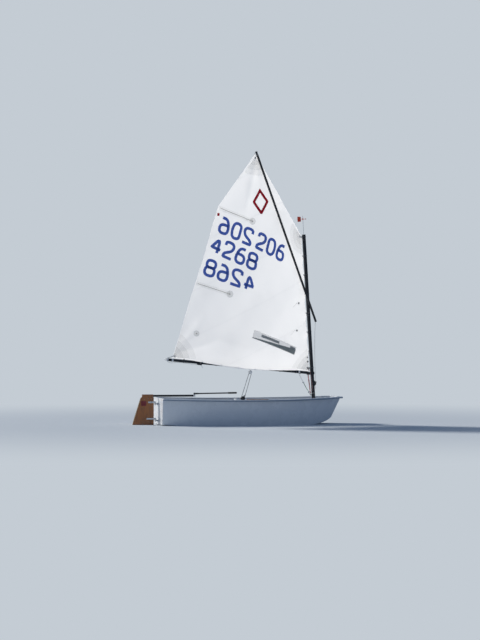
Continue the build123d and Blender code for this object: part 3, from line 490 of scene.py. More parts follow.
class Signal:
    """A number that a node gives, with which an expression adds its Math nodes."""

    def __init__(self, finish, socket):
        self.finish, self.socket = finish, socket

    def math(self, operation, *others):
        """The operation's result on this number and the others, in that order."""
        return self.finish.node("ShaderNodeMath", {"operation": operation}, dict(enumerate((self, *others))))

    # A sum, product, difference, quotient or power adds the Math node of that name.
    def __add__(self, other):
        return self.math("ADD", other)

    def __mul__(self, other):
        return self.math("MULTIPLY", other)

    def __sub__(self, other):
        return self.math("SUBTRACT", other)

    def __truediv__(self, other):
        return self.math("DIVIDE", other)

    def __pow__(self, other):
        return self.math("POWER", other)

    def __rsub__(self, other):
        return (self * -1.0) + other

    def __rtruediv__(self, other):
        return (self ** -1.0) * other

    __radd__, __rmul__ = __add__, __mul__

    def wave(self):
        """Sine of the number."""
        return self.math("SINE")

    def fold(self, scale):
        """Distance to the nearest whole multiple of twice the scale, at most the scale."""
        return self.math("PINGPONG", scale)

    def step(self, low, high):
        """Goes from 0 to 1 as the number goes from low to high."""
        return self.finish.node("ShaderNodeMapRange", {"interpolation_type": "SMOOTHSTEP"}, {
            "Value": self, "From Min": low, "From Max": high, "To Min": 0.0, "To Max": 1.0,
        })


class Finish:
    """A material built up from nodes round one Principled shader."""

    def __init__(self, name, colour, **fixed):
        self.material = bpy.data.materials.new(name)
        self.material.use_nodes = True
        self.tree = self.material.node_tree
        self.tree.nodes.clear()
        self.output = self.tree.nodes.new("ShaderNodeOutputMaterial")
        self.shader = self.tree.nodes.new("ShaderNodeBsdfPrincipled")
        self.material.diffuse_color = (*colour, 1.0)
        for key, value in fixed.items():
            self.shader.inputs[key.replace("_", " ")].default_value = value
        self.show(self.shader.outputs[0])
        self.places = self.tree.nodes.new("ShaderNodeTexCoord").outputs["Object"]

    def link(self, source, target):
        """Joins an output to an input."""
        self.tree.links.new(source, target)

    def fill(self, socket, value):
        """Gives a socket its value, or links it to a number or a node's output."""
        value = value.socket if isinstance(value, Signal) else value
        if isinstance(value, bpy.types.NodeSocket):
            self.link(value, socket)
        elif hasattr(value, "__len__") and len(value) == 3 and socket.type == "RGBA":
            socket.default_value = (*value, 1.0)
        else:
            socket.default_value = value

    def node(self, kind, settings, inputs, output=0):
        """Adds a node of a type with its settings and its sockets' values or links, and gives its output."""
        made = self.tree.nodes.new(kind)
        for key, value in settings.items():
            setattr(made, key, value)
        for key, value in inputs.items():
            self.fill(made.inputs[key], value)
        socket = made.outputs[output]
        return Signal(self, socket) if socket.type == "VALUE" else socket

    def stretched(self, scale):
        """Places scaled along each axis."""
        return self.node("ShaderNodeMapping", {}, {"Vector": self.places, "Scale": scale})

    def noise(self, scale, detail, rough=0.5, places=None, twist=0.0):
        """Soft noise, 0 to 1, at a number of lumps a metre."""
        return self.node("ShaderNodeTexNoise", {}, {
            "Vector": places or self.places, "Scale": scale, "Detail": detail, "Roughness": rough,
            "Distortion": twist,
        })

    def axis(self, number, places=None):
        """One part of a place: 0 for X, 1 for Y or 2 for Z."""
        return self.node("ShaderNodeSeparateXYZ", {}, {0: places or self.places}, number)

    def pattern(self):
        """The piece's own map: the way along it and across it."""
        return self.node("ShaderNodeUVMap", {"uv_map": "cut"}, {})

    def tint(self, first, second, amount):
        """Colour that goes from the first to the second with the amount."""
        return self.node("ShaderNodeMix", {"data_type": "RGBA", "clamp_factor": True}, {
            0: amount, 6: first, 7: second,
        }, 2)

    def mix(self, amount, below, above):
        """Shader that goes from the one below to the one above with the amount."""
        return self.node("ShaderNodeMixShader", {}, {0: amount, 1: below, 2: above})

    def show(self, shader):
        """Puts a shader in the place of the Principled one and gives the material."""
        self.link(shader, self.output.inputs["Surface"])
        return self.material

    def paint(self, colour):
        """Gives the surface its colour."""
        self.fill(self.shader.inputs["Base Color"], colour)

    def rough(self, value):
        """Gives the surface its roughness."""
        self.fill(self.shader.inputs["Roughness"], value)

    def bump(self, height, distance, strength):
        """Bends the surface's normal as a height of up to a distance in metres would."""
        bump = self.node("ShaderNodeBump", {}, {"Height": height, "Distance": distance, "Strength": strength})
        self.fill(self.shader.inputs["Normal"], bump)


def light(colour):
    """A colour written as on a screen, 0 to 255, as a shader's linear numbers: the screen's curve undone."""
    share = np.asarray(colour, float) / 255
    return tuple(np.where(share <= 0.04045, share / 12.92, ((share + 0.055) / 1.055) ** 2.4).tolist())


def shaded(colour, factor, lift=0.0):
    """A colour times a factor plus a lift, each part at most 1."""
    return tuple(min(1.0, factor * part + lift) for part in colour)


def wear(finish, scale):
    """Soft patches, 0 to 1: noise of a number of lumps a metre, from where it passes 0.45."""
    return finish.noise(scale, 4.0, 0.6).step(0.45, 0.75)


def gelcoat_finish(settings):
    """Moulded gelcoat: faint mottling, small scratches, some dirt near the waterline and orange-peel bump."""
    pale = settings.gelcoat
    finish = Finish("gelcoat", pale, Coat_Weight=0.35, Coat_Roughness=0.12, Specular_IOR_Level=0.5)
    runs = finish.noise(9.0, 5.0, 0.65, finish.stretched((1.0, 1.0, 0.3)))
    stain = finish.axis(2).step(0.16, -0.02) * (runs * 1.1)
    scratch = finish.noise(40.0, 3.0, 0.7, finish.stretched((1.0, 1.0, 14.0))).step(0.60, 0.72)
    mottled = finish.tint(pale, shaded(pale, 0.82), wear(finish, 3.0) * 0.05)
    dirty = finish.tint(mottled, light((140, 144, 136)), stain * 0.09)
    finish.paint(finish.tint(dirty, light((238, 240, 240)), scratch * 0.06))
    finish.rough(wear(finish, 7.0) * 0.14 + scratch * 0.15 + 0.26)
    finish.bump(finish.noise(180.0, 2.0) * 0.25 + scratch * -0.2 + finish.noise(3.0, 2.0) * 0.5, 0.0012, 0.2)
    return finish.material


def rail_finish(settings):
    """Moulded rail with a fine grain and scuffs: its lower half, under a line that follows the sheer as
    0.0147 x squared + 0.0042 x + 0.3178, is painted a darker blue-grey as painted shade under its top."""
    finish = Finish("moulded_rail", settings.rail)
    ahead, height = finish.axis(0), finish.axis(2)
    sheer = ahead * ahead * 0.0147 + ahead * 0.0042 + 0.3178
    # painted shade: the rail's side below the sheer line goes to a dark blue-grey, the shade under its top
    low = (height - sheer).step(-0.003, -0.007)
    scuff = finish.noise(26.0, 5.0, 0.7, finish.stretched((1.0, 3.0, 3.0))).step(0.56, 0.70)
    shade = finish.tint(settings.rail, shaded(settings.rail, 0.62), scuff * 0.3)
    finish.paint(finish.tint(shade, light((112, 128, 150)), low * 0.9))
    finish.rough(scuff * 0.25 + low * 0.1 + 0.38)
    finish.bump(finish.noise(420.0, 2.0) + scuff * -0.5, 0.0008, 0.35)
    return finish.material


def plywood_finish(settings):
    """Varnished plywood: long grain with darker rings, pores along it, dark stains and a clear coat. It is
    painted pale within 6.5 mm of the rudder's trailing edge, a painted highlight where light catches that
    edge, which runs aft of its pins by 0.165 + 0.316 (0.345 - z)."""
    pins, breadth, slope, top = -1.200, 0.165, 0.316, 0.345
    finish = Finish("varnished_plywood", settings.plywood, Coat_Weight=0.7, Coat_Roughness=0.08)
    along = finish.stretched((7.0, 7.0, 0.55))
    rings = (finish.noise(3.2, 3.0, 0.55, along, 0.8) * 46.0).wave() * 0.5 + 0.5
    fine = finish.noise(60.0, 4.0, 0.6, finish.stretched((5.0, 5.0, 0.16)))
    brown = settings.plywood
    gold = (min(1.0, 1.7 * brown[0]), 1.55 * brown[1], 1.3 * brown[2])
    wood = finish.tint(brown, shaded(brown, 0.50), rings * 0.55)
    wood = finish.tint(wood, gold, fine.step(0.45, 0.72) * 0.6)
    wood = finish.tint(wood, light((58, 38, 24)), wear(finish, 9.0) * 0.25)
    # painted highlight: a pale band along the rudder's trailing edge where light catches it
    edge = finish.axis(0) * -1.0 + finish.axis(2) * slope + (pins - breadth - slope * top)
    finish.paint(finish.tint(wood, light((214, 196, 160)), edge.step(-0.0075, -0.0055) * 0.85))
    finish.rough(fine * 0.16 + 0.22)
    finish.bump(fine * 0.7 + rings * 0.3, 0.0006, 0.35)
    return finish.material


def spar_finish(settings):
    """Black anodised tube: a satin face with fine lines drawn along it and rubbed places."""
    finish = Finish("black_anodised_tube", settings.spar, Metallic=0.25, Specular_IOR_Level=0.55)
    drawn = finish.noise(260.0, 2.0, 0.5, finish.stretched((1.0, 1.0, 0.01)))
    rubbed = finish.noise(14.0, 5.0, 0.7).step(0.58, 0.74)
    finish.paint(finish.tint(settings.spar, shaded(settings.spar, 3.0, 0.02), rubbed * 0.35))
    finish.rough(drawn * 0.14 + rubbed * 0.12 + 0.26)
    finish.bump(drawn, 0.0003, 0.3)
    return finish.material


def steel_finish(settings):
    """Brushed stainless steel with fine scratches and faint tea stains."""
    finish = Finish("brushed_stainless", settings.steel, Metallic=1.0)
    brushed = finish.noise(340.0, 3.0, 0.6, finish.stretched((0.08, 1.0, 1.0)))
    stain = finish.noise(40.0, 4.0, 0.7).step(0.58, 0.75)
    finish.paint(finish.tint(settings.steel, light((150, 118, 84)), stain * 0.30))
    finish.rough(brushed * 0.22 + stain * 0.2 + 0.16)
    finish.bump(brushed, 0.0002, 0.4)
    return finish.material


def plastic_finish(name, colour, grain=420.0):
    """Moulded plastic: fine spark grain, sun-greyed places and small scuffs."""
    finish = Finish(name, colour)
    scuff = finish.noise(60.0, 5.0, 0.7).step(0.57, 0.70)
    pale = shaded(colour, 1.5, 0.04)
    finish.paint(finish.tint(finish.tint(colour, pale, wear(finish, 11.0) * 0.3), pale, scuff * 0.35))
    finish.rough(scuff * 0.2 + finish.noise(grain, 2.0) * 0.12 + 0.36)
    finish.bump(finish.noise(grain, 2.0) + scuff * -0.4, 0.0005, 0.4)
    return finish.material


def rubber_finish(settings):
    """Grip foam: matt, finely pored, rubbed paler in places."""
    finish = Finish("grip_foam", settings.rubber)
    pores = finish.node("ShaderNodeTexVoronoi", {}, {"Vector": finish.places, "Scale": 900.0})
    rubbed = finish.noise(70.0, 4.0, 0.7).step(0.5, 0.72)
    finish.paint(finish.tint(settings.rubber, shaded(settings.rubber, 3.0, 0.02), rubbed * 0.4))
    finish.rough(rubbed * 0.1 + 0.78)
    finish.bump(pores, 0.0005, 0.7)
    return finish.material


def sailcloth_finish(settings):
    """Woven sailcloth: light comes through it, panel seams lie square to the leech with two rows of stitches,
    a fine check of reinforcing threads, faint handling creases and stains."""
    finish = Finish("woven_sailcloth", settings.cloth, Sheen_Weight=0.08)
    cut = finish.pattern()
    aft = finish.axis(0, cut) / CLOTH_UV
    up = finish.axis(1, cut) / CLOTH_UV
    panel_width, seam_slope, first_seam = 0.545, 0.385, 0.31
    panel = (up + aft * seam_slope) / panel_width - first_seam
    near = panel.fold(0.5) * panel_width
    lap = near.step(0.0115, 0.0095)
    stitch_row = lap * near.step(0.0070, 0.0080) * near.step(0.0098, 0.0090)
    stitches = (aft * 2000.0).wave().step(-0.1, 0.3) * stitch_row
    weave = (aft * 2600.0).wave() * (up * 2600.0).wave()
    warp, weft = ((way * 100.0).fold(0.5).step(0.10, 0.02) for way in (aft, up))
    threads = warp.math("MAXIMUM", weft)
    crinkle = finish.noise(26.0, 5.0, 0.62, finish.stretched((1.0, 1.0, 0.6)), 0.4)
    stain = finish.noise(2.2, 4.0, 0.6).step(0.5, 0.8)
    colour = finish.tint(settings.cloth, shaded(settings.cloth, 0.90), lap * 0.20 + threads * 0.08)
    colour = finish.tint(colour, light((198, 200, 206)), stitches * 0.7)
    colour = finish.tint(colour, light((206, 206, 198)), stain * 0.22)
    finish.paint(colour)
    finish.rough(crinkle * 0.16 + 0.46)
    finish.bump(weave * 0.10 + threads * 0.2 + lap * 1.2 + stitches * 0.8 + crinkle * 1.8, 0.0007, 0.5)
    glow = finish.node("ShaderNodeBsdfTranslucent", {}, {"Color": light((247, 247, 248))})
    share = lap * -0.035 + stitches * -0.06 + stain * -0.05 + threads * -0.02 + 0.63
    return finish.show(finish.mix(share, finish.shader.outputs[0], glow))


def film_finish(name, colour, through_light, texture, roughness, clear):
    """Thin adhesive cloth or film on the sail: slightly uneven, part of the light glows through it, and a
    clear share of what is behind it shows."""
    finish = Finish(name, colour)
    uneven = finish.noise(texture, 4.0, 0.6)
    flecks = finish.noise(texture * 7.0, 2.0).step(0.62, 0.72)
    shade = finish.tint(colour, shaded(colour, 0.84), uneven.step(0.42, 0.75) * 0.30)
    finish.paint(finish.tint(shade, shaded(colour, 1.2, 0.03), flecks * 0.22))
    finish.rough(uneven * 0.2 + (roughness - 0.08))
    finish.bump(finish.noise(900.0, 2.0) * 0.3 + uneven, 0.0004, 0.4)
    glow = finish.node("ShaderNodeBsdfTranslucent", {}, {"Color": tuple(colour)})
    shader = finish.mix(uneven * -0.10 + (through_light + 0.05), finish.shader.outputs[0], glow)
    if clear:
        behind = finish.node("ShaderNodeBsdfTransparent", {}, {"Color": light((250, 250, 250))})
        shader = finish.mix(clear, shader, behind)
    return finish.show(shader)


def rope_finish(name, colour, fleck):
    """Braided line: two families of strands crossing along the cord's own map, with a coloured fleck."""
    strands, pitch, full_turn = 8.0, 260.0, 6.2832
    finish = Finish(name, colour, Sheen_Weight=0.15)
    cut = finish.pattern()
    along = finish.axis(0, cut)
    turn = finish.axis(1, cut)
    left = ((along * pitch + turn * strands) * full_turn).wave()
    right = ((along * pitch - turn * strands) * full_turn).wave()
    braid = left.math("MAXIMUM", right)
    hollow = braid.step(0.55, -0.2)
    marked = ((along * (pitch / 4.0) + turn * 2.0) * full_turn).wave().step(0.80, 0.92)
    # painted shade: the hollows between the strands are darkened
    shade = finish.tint(colour, shaded(colour, 0.45), hollow * 0.8)
    shade = finish.tint(shade, fleck, marked * 0.75)
    finish.paint(finish.tint(shade, shaded(colour, 0.7), wear(finish, 30.0) * 0.3))
    finish.rough(hollow * 0.15 + 0.62)
    finish.bump(braid, 0.0006, 0.8)
    return finish.material


def webbing_finish(name, colour, thread):
    """Woven webbing on the strap's own map: the product of two waves gives ribs across it in a twill, with a
    paler thread on top and worn places."""
    finish = Finish(name, colour, Sheen_Weight=0.2)
    cut = finish.pattern()
    along, across = finish.axis(0, cut), finish.axis(1, cut)
    rib = (along * 1900.0 + across * 60.0).wave()
    twill = (along * 900.0 - across * 190.0).wave()
    weave = rib * twill
    shade = finish.tint(colour, thread, weave.step(0.2, 0.9) * 0.45)
    finish.paint(finish.tint(shade, shaded(colour, 1.9, 0.03), wear(finish, 24.0) * 0.3))
    finish.rough(weave * 0.06 + 0.74)
    finish.bump(weave, 0.0006, 0.7)
    return finish.material


def bag_finish(settings):
    """Welded bag film: a soft sheen with small crinkles and scuffed places."""
    finish = Finish("bag_film", settings.bag, Coat_Weight=0.15, Coat_Roughness=0.25)
    crinkle = finish.noise(34.0, 5.0, 0.6, twist=0.5)
    grain = finish.noise(700.0, 2.0)
    scuff = finish.noise(15.0, 5.0, 0.7).step(0.58, 0.72)
    finish.paint(finish.tint(settings.bag, shaded(settings.bag, 0.66), scuff * 0.35 + crinkle * 0.12))
    finish.rough(scuff * 0.2 + crinkle * 0.12 + 0.30)
    finish.bump(crinkle * 2.2 + grain * 0.12, 0.0016, 0.45)
    return finish.material


def shade_of(name, description, colour):
    """Setting for a colour, its default written as on a screen."""
    return FloatVectorProperty(
        name=name, description=description, size=3, subtype="COLOR", default=light(colour), min=0.0, max=1.0,
    )


class DinghySail(PropertyGroup):
    """Sizes and colours of the sail and what is on it."""

    rows: IntProperty(name="Rows", description="Rows of the sail's grid, foot to peak", default=250, min=60)
    columns: IntProperty(name="Columns", description="Its columns, luff to leech", default=160, min=40)
    crease: FloatProperty(name="Creases", description="Depth of the creases, 1 as in the photo", default=1.0)
    scallop: FloatProperty(
        name="Scallops", description="Depth of the luff's curves between ties", default=0.011, unit="LENGTH",
    )
    mark_height: FloatProperty(
        name="Figures", description="Height of the figures", default=0.226, unit="LENGTH",
    )
    mark_stroke: FloatProperty(
        name="Stroke", description="Width of the figures' strokes", default=0.036, unit="LENGTH",
    )
    cloth: shade_of("Cloth colour", "Colour of the sailcloth", (246, 246, 247))
    figures: shade_of("Figures' colour", "Colour of the figures", (104, 136, 212))
    emblem: shade_of("Red shape", "Colour of the red shape", (206, 34, 56))
    film: shade_of("Window", "Colour of the window's film", (214, 217, 219))


class DinghyHull(PropertyGroup):
    """Colours of the hull's and the spars' finishes."""

    gelcoat: shade_of("Gelcoat", "Colour of the hull", (213, 218, 224))
    rail: shade_of("Rail", "Colour of the gunwale", (224, 228, 232))
    plywood: shade_of("Plywood", "Colour of rudder and daggerboard", (154, 88, 20))
    spar: shade_of("Spars", "Colour of the tubes", (26, 30, 36))
    steel: shade_of("Steel", "Colour of the steel", (190, 194, 198))
    black: shade_of("Black plastic", "Colour of the dark fittings", (30, 32, 35))
    pale: shade_of("Pale plastic", "Colour of the pale fittings", (214, 216, 218))
    rubber: shade_of("Grip", "Colour of the grip", (24, 24, 26))
    vane: shade_of("Vane", "Colour of the wind vane", (224, 74, 40))
    bag: shade_of("Bags", "Colour of the buoyancy bags", (206, 210, 214))
    webbing: shade_of("Webbing", "Colour of the straps", (32, 36, 46))


class DinghyStage(PropertyGroup):
    """Camera, floor and light."""

    lens: FloatProperty(name="Lens", description="Focal length for a frame 36 mm high", default=123.77)
    key: FloatProperty(name="Key", description="Strength of the main lamp", default=4.0)
    fill: FloatProperty(name="Fill", description="Strength of the lamp on the camera's side", default=0.2)
    sky: FloatProperty(name="Sky", description="Strength of the light all round", default=0.265)
    floor: shade_of("Floor", "Colour of the floor and the background", (196, 204, 212))


class DINGHY_OT_finishes(Operator):
    """Gives every part of the boat its finish and makes the finishes of the sail, the lines and the straps"""

    bl_idname = "dinghy.finishes"
    bl_label = "Finishes"

    def execute(self, context):
        settings = context.scene.dinghy_hull
        finishes = {
            "hull": gelcoat_finish(settings),
            "rail": rail_finish(settings),
            "black_plastic": plastic_finish("black_fitting_plastic", settings.black),
            "pale_plastic": plastic_finish("pale_fitting_plastic", settings.pale),
            "stainless": steel_finish(settings),
            "bag": bag_finish(settings),
            "webbing": webbing_finish("strap_webbing", settings.webbing, light((90, 96, 110))),
            "varnished_wood": plywood_finish(settings),
            "black_spar": spar_finish(settings),
            "grip_rubber": rubber_finish(settings),
            "sailcloth": sailcloth_finish(context.scene.dinghy_sail),
            "cordage": rope_finish("white_line", light((214, 214, 208)), light((60, 80, 130))),
            "vane_red": plastic_finish("vane_plastic", settings.vane, 700.0),
        }
        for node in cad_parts.values():
            for place, old in enumerate(node.data.materials):
                slot = old.name.split(".")[0]
                if slot not in finishes:
                    raise RuntimeError(f"no finish for slot {slot}")
                node.data.materials[place] = finishes[slot]
        # the rudder's head is plywood like its blade
        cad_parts["rudder_head"].data.materials[0] = finishes["varnished_wood"]
        plastic_finish("red_film", light((120, 30, 34)), 240.0)
        webbing_finish("white_webbing", light((206, 208, 210)), light((232, 232, 230)))
        plastic_finish("sleeve_foam", light((44, 48, 58)), 160.0)
        for name, colour, fleck in (
            ("green_line", (126, 168, 138), (226, 228, 220)),
            ("red_line", (204, 138, 140), (240, 234, 228)),
            ("grey_line", (176, 180, 182), (92, 110, 128)),
            ("dark_line", (44, 48, 56), (190, 192, 196)),
        ):
            rope_finish(name, light(colour), light(fleck))
        sail = context.scene.dinghy_sail
        for name, colour, through_light, texture, roughness, clear in (
            ("figure_cloth", sail.figures, 0.50, 60.0, 0.40, 0.10),
            ("red_cloth", sail.emblem, 0.45, 60.0, 0.35, 0.0),
            ("window_film", sail.film, 0.55, 12.0, 0.14, 0.74),
            # the darker film below paints shade along the window's lower edge
            ("window_painted_shade", light((134, 146, 148)), 0.45, 9.0, 0.20, 0.25),
            ("window_print", light((150, 156, 160)), 0.45, 9.0, 0.30, 0.30),
            ("patch_cloth", light((246, 245, 240)), 0.60, 60.0, 0.50, 0.972),
            ("patch_pale", light((226, 226, 222)), 0.55, 60.0, 0.50, 0.78),
            ("batten_grey", light((176, 175, 168)), 0.45, 60.0, 0.45, 0.35),
        ):
            film_finish(name, colour, through_light, texture, roughness, clear)
        return {"FINISHED"}


class DINGHY_OT_sail(Operator):
    """Makes the sail: one full sheet of cloth laced to mast and boom and held out by the sprit"""

    bl_idname = "dinghy.sail"
    bl_label = "Sail"

    def execute(self, context):
        settings = context.scene.dinghy_sail
        counts = np.maximum(2, np.round(np.diff(KNOTS) * settings.rows)).astype(int)
        rows = [
            np.linspace(low, high, count, endpoint=False)
            for low, high, count in zip(KNOTS[:-1], KNOTS[1:], counts)
        ]
        v = np.concatenate(rows + [[1.0]])
        v = np.concatenate([[SHELF_START], v[v > SHELF_START + 1e-3]])
        u, v = np.meshgrid(np.linspace(0, 1, settings.columns + 1), v)
        cloth = sail_surface(u, v, settings)
        flat = sail_flat(u, v)
        foot = self.shelf(cloth[0], u[0])
        points = np.concatenate([foot[:-1], cloth])
        below = np.linspace(-0.12, 0, len(foot))[:-1, None] + flat[0, :, 1]
        pattern = np.concatenate([
            np.stack([np.broadcast_to(flat[0, :, 0], below.shape), below], -1), flat[..., :2],
        ]) * CLOTH_UV
        shells = Shells().grid(points, pattern=pattern)
        sail = shells.piece("sail_cloth", "woven_sailcloth", "sailcloth", "rig", closed=False, sharp=0)
        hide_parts("sail")
        return {"FINISHED"}

    @staticmethod
    def shelf(edge, u):
        """Foot of the sail from the boom out to its lowest line: a cubic curve from the line of its ties, out
        and down, that turns up into the cloth."""
        tack, clew = LUFF[0], LEECH[0]
        line = rig(*(tack[axis] + (clew[axis] - tack[axis]) * u for axis in range(3))) - 0.002 * UP
        reach = edge - line
        out = (reach @ LEE)[:, None] * LEE
        fall = np.linalg.norm(out, axis=1)[:, None]
        first = line + 0.5 * out - 0.45 * fall * UP
        second = edge - (0.30 * fall + 0.002) * UP
        w = np.linspace(0, 1, 11)[:, None, None]
        start = (1 - w) ** 3 * line + 3 * (1 - w) ** 2 * w * first
        return start + 3 * (1 - w) * w ** 2 * second + w ** 3 * edge

    @staticmethod
    def area(points):
        """Sum of the quads' areas, each half the cross product of its diagonals."""
        rise = points[1:, 1:] - points[:-1, :-1]
        fall = points[1:, :-1] - points[:-1, 1:]
        return float(np.linalg.norm(np.cross(rise, fall), axis=-1).sum() / 2)


class DINGHY_OT_battens(Operator):
    """Lays the batten pockets, the round patches at their ends and the corner patches on the sail"""

    bl_idname = "dinghy.battens"
    bl_label = "Battens and patches"

    # Leech aft, up, then the patch's aft, up.
    pockets = (
        (1.256, 2.722, 0.796, 2.537),
        (1.600, 1.811, 1.176, 1.652),
    )
    # The lowest patch, which has no pocket: aft, up.
    lowest = (1.637, 1.194)
    # Corner aft, up, then the directions of its two sides in degrees above aft, and its reach.
    corners = (
        (1.946, 0.922, 110.0, 187.0, 0.30),
        (0.044, 0.640, 10.0, 90.0, 0.27),
        (0.040, 2.318, -90.0, 54.0, 0.22),
        (0.708, 3.335, -122.0, -47.0, 0.26),
    )

    def execute(self, context):
        settings = context.scene.dinghy_sail
        pocket_cloth, lines, pale, layers = Shells(), Shells(), Shells(), Shells()
        for leech_aft, leech_up, patch_aft, patch_up in self.pockets:
            line = evenly(((leech_aft, leech_up), (patch_aft, patch_up)), 0.02)
            for side in (1, -1):
                strip_on_sail(pocket_cloth, line, 0.050, side, settings, 0.0011)
                strip_on_sail(lines, line[1:], 0.0048, side, settings, 0.0026)
                disc_on_sail(pale, (patch_aft, patch_up), 0.043, side, settings, 0.0019)
                disc_on_sail(lines, (patch_aft, patch_up), 0.0075, side, settings, 0.0024, 3)
        for side in (1, -1):
            disc_on_sail(pale, self.lowest, 0.036, side, settings, 0.0011)
            disc_on_sail(lines, self.lowest, 0.008, side, settings, 0.0015, 3)
        for aft, up, low, high, reach in self.corners:
            for layer, share in enumerate((1.0, 0.72, 0.46)):
                for side in (1, -1):
                    lift = side * (0.0009 + 0.0003 * layer)
                    self.sector(layers, (aft, up), (low, high), reach * share, lift, settings)
        keep("rig", (
            (pocket_cloth, "batten_pockets", "patch_cloth", "sailcloth"),
            (lines, "batten_lines", "batten_grey", "sailcloth"),
            (pale, "batten_patches", "patch_pale", "sailcloth"),
            (layers, "corner_patches", "patch_cloth", "sailcloth"),
        ), closed=False)
        return {"FINISHED"}

    @staticmethod
    def sector(shells, corner, sides, reach, lift, settings):
        """Patch in a corner: rays from the corner, the outer edge drawn in by 12% midway between them."""
        angle = np.radians(np.linspace(*sides, 22))
        share = np.concatenate([np.linspace(0.01, 1, 9), [1.0]])
        middle = np.sin(np.pi * np.linspace(0, 1, 22))
        length = reach * (1 - 0.12 * middle) * share[:, None]
        aft = corner[0] + length * np.cos(angle)
        up = corner[1] + length * np.sin(angle)
        depth = np.concatenate([np.full(9, lift), [0.0]])[:, None] + np.zeros(22)
        depth[:, 0] = depth[:, -1] = 0.0
        return shells.grid(on_sail(aft, up, depth, settings))


class DINGHY_OT_figures(Operator):
    """Lays plain figures and a red outlined diamond on both faces of the sail"""

    bl_idname = "dinghy.figures"
    bl_label = "Figures"

    # Strokes of a figure in a cell 0.6 wide and 1 high; closed where its last point meets its first.
    shapes = {
        "0": (((0, 0.5), (0, 1), (0.6, 1), (0.6, 0), (0, 0), (0, 0.5)),),
        "2": (((0, 0.74), (0, 1), (0.6, 1), (0.6, 0.52), (0.0, 0.22), (0, 0), (0.02, 0), (0.6, 0)),),
        "4": (((0.44, 0), (0.44, 1), (0.0, 0.3), (0.02, 0.27), (0.62, 0.27)),),
        "6": (((0.56, 0.97), (0.2, 0.97), (0, 0.55), (0, 0), (0.6, 0), (0.6, 0.56), (0.0, 0.56)),),
        "8": (
            ((0.3, 0.53), (0.0, 0.53), (0.0, 1), (0.6, 1), (0.6, 0.53), (0.3, 0.53)),
            ((0.3, 0.53), (-0.02, 0.53), (-0.02, 0), (0.62, 0), (0.62, 0.53), (0.3, 0.53)),
        ),
    }
    # Figures, lower aft corner's aft and up, mirrored, the row's fall in degrees, its width as a share.
    groups = (
        ("206", 1.300, 2.418, True, 23.5, 1.0),
        ("206", 0.788, 2.205, False, 27.0, 0.90),
        ("4268", 1.414, 2.190, False, 25.0, 1.0),
        ("4268", 1.520, 1.907, True, 21.5, 1.05),
    )
    leech_way = np.array((-0.360, 0.933))

    def execute(self, context):
        settings = context.scene.dinghy_sail
        figures, red = Shells(), Shells()
        height = settings.mark_height - settings.mark_stroke
        for text, aft, up, mirrored, fall, width in self.groups:
            row_way = -np.array((np.cos(np.radians(fall)), np.sin(np.radians(fall))))
            pitch = (0.6 * height + settings.mark_stroke + 0.022) * width
            letters = text[::-1] if mirrored else text
            for place, letter in enumerate(letters):
                start = np.array((aft, up)) + row_way * (place * pitch + settings.mark_stroke / 2)
                start = start + self.leech_way * settings.mark_stroke / 2
                for stroke in self.shapes[letter]:
                    cell = np.asarray(stroke, float)
                    if mirrored:
                        cell = cell * (-1, 1) + (0.6, 0)
                    closed = bool(np.allclose(cell[0], cell[-1]))
                    cell = round_corners(cell[:-1] if closed else cell, closed)
                    line = start + cell[:, :1] * height * width * row_way
                    line = evenly(line + cell[:, 1:] * height * self.leech_way, 0.012, closed)
                    for side in (1, -1):
                        strip_on_sail(figures, line, settings.mark_stroke, side, settings, 0.00105, closed)
        diamond = evenly(((0.662, 2.915), (0.560, 2.775), (0.662, 2.635), (0.764, 2.775)), 0.0156, True)
        leech_mark = evenly(((1.262, 2.655), (1.268, 2.620)), 0.008)
        for side in (1, -1):
            strip_on_sail(red, diamond, 0.034, side, settings, 0.00105, True)
            strip_on_sail(red, leech_mark, 0.030, side, settings, 0.0012)
        keep("rig", (
            (figures, "sail_figures", "figure_cloth", "sailcloth"),
            (red, "red_diamond", "red_cloth", "sailcloth"),
        ), closed=False)
        return {"FINISHED"}


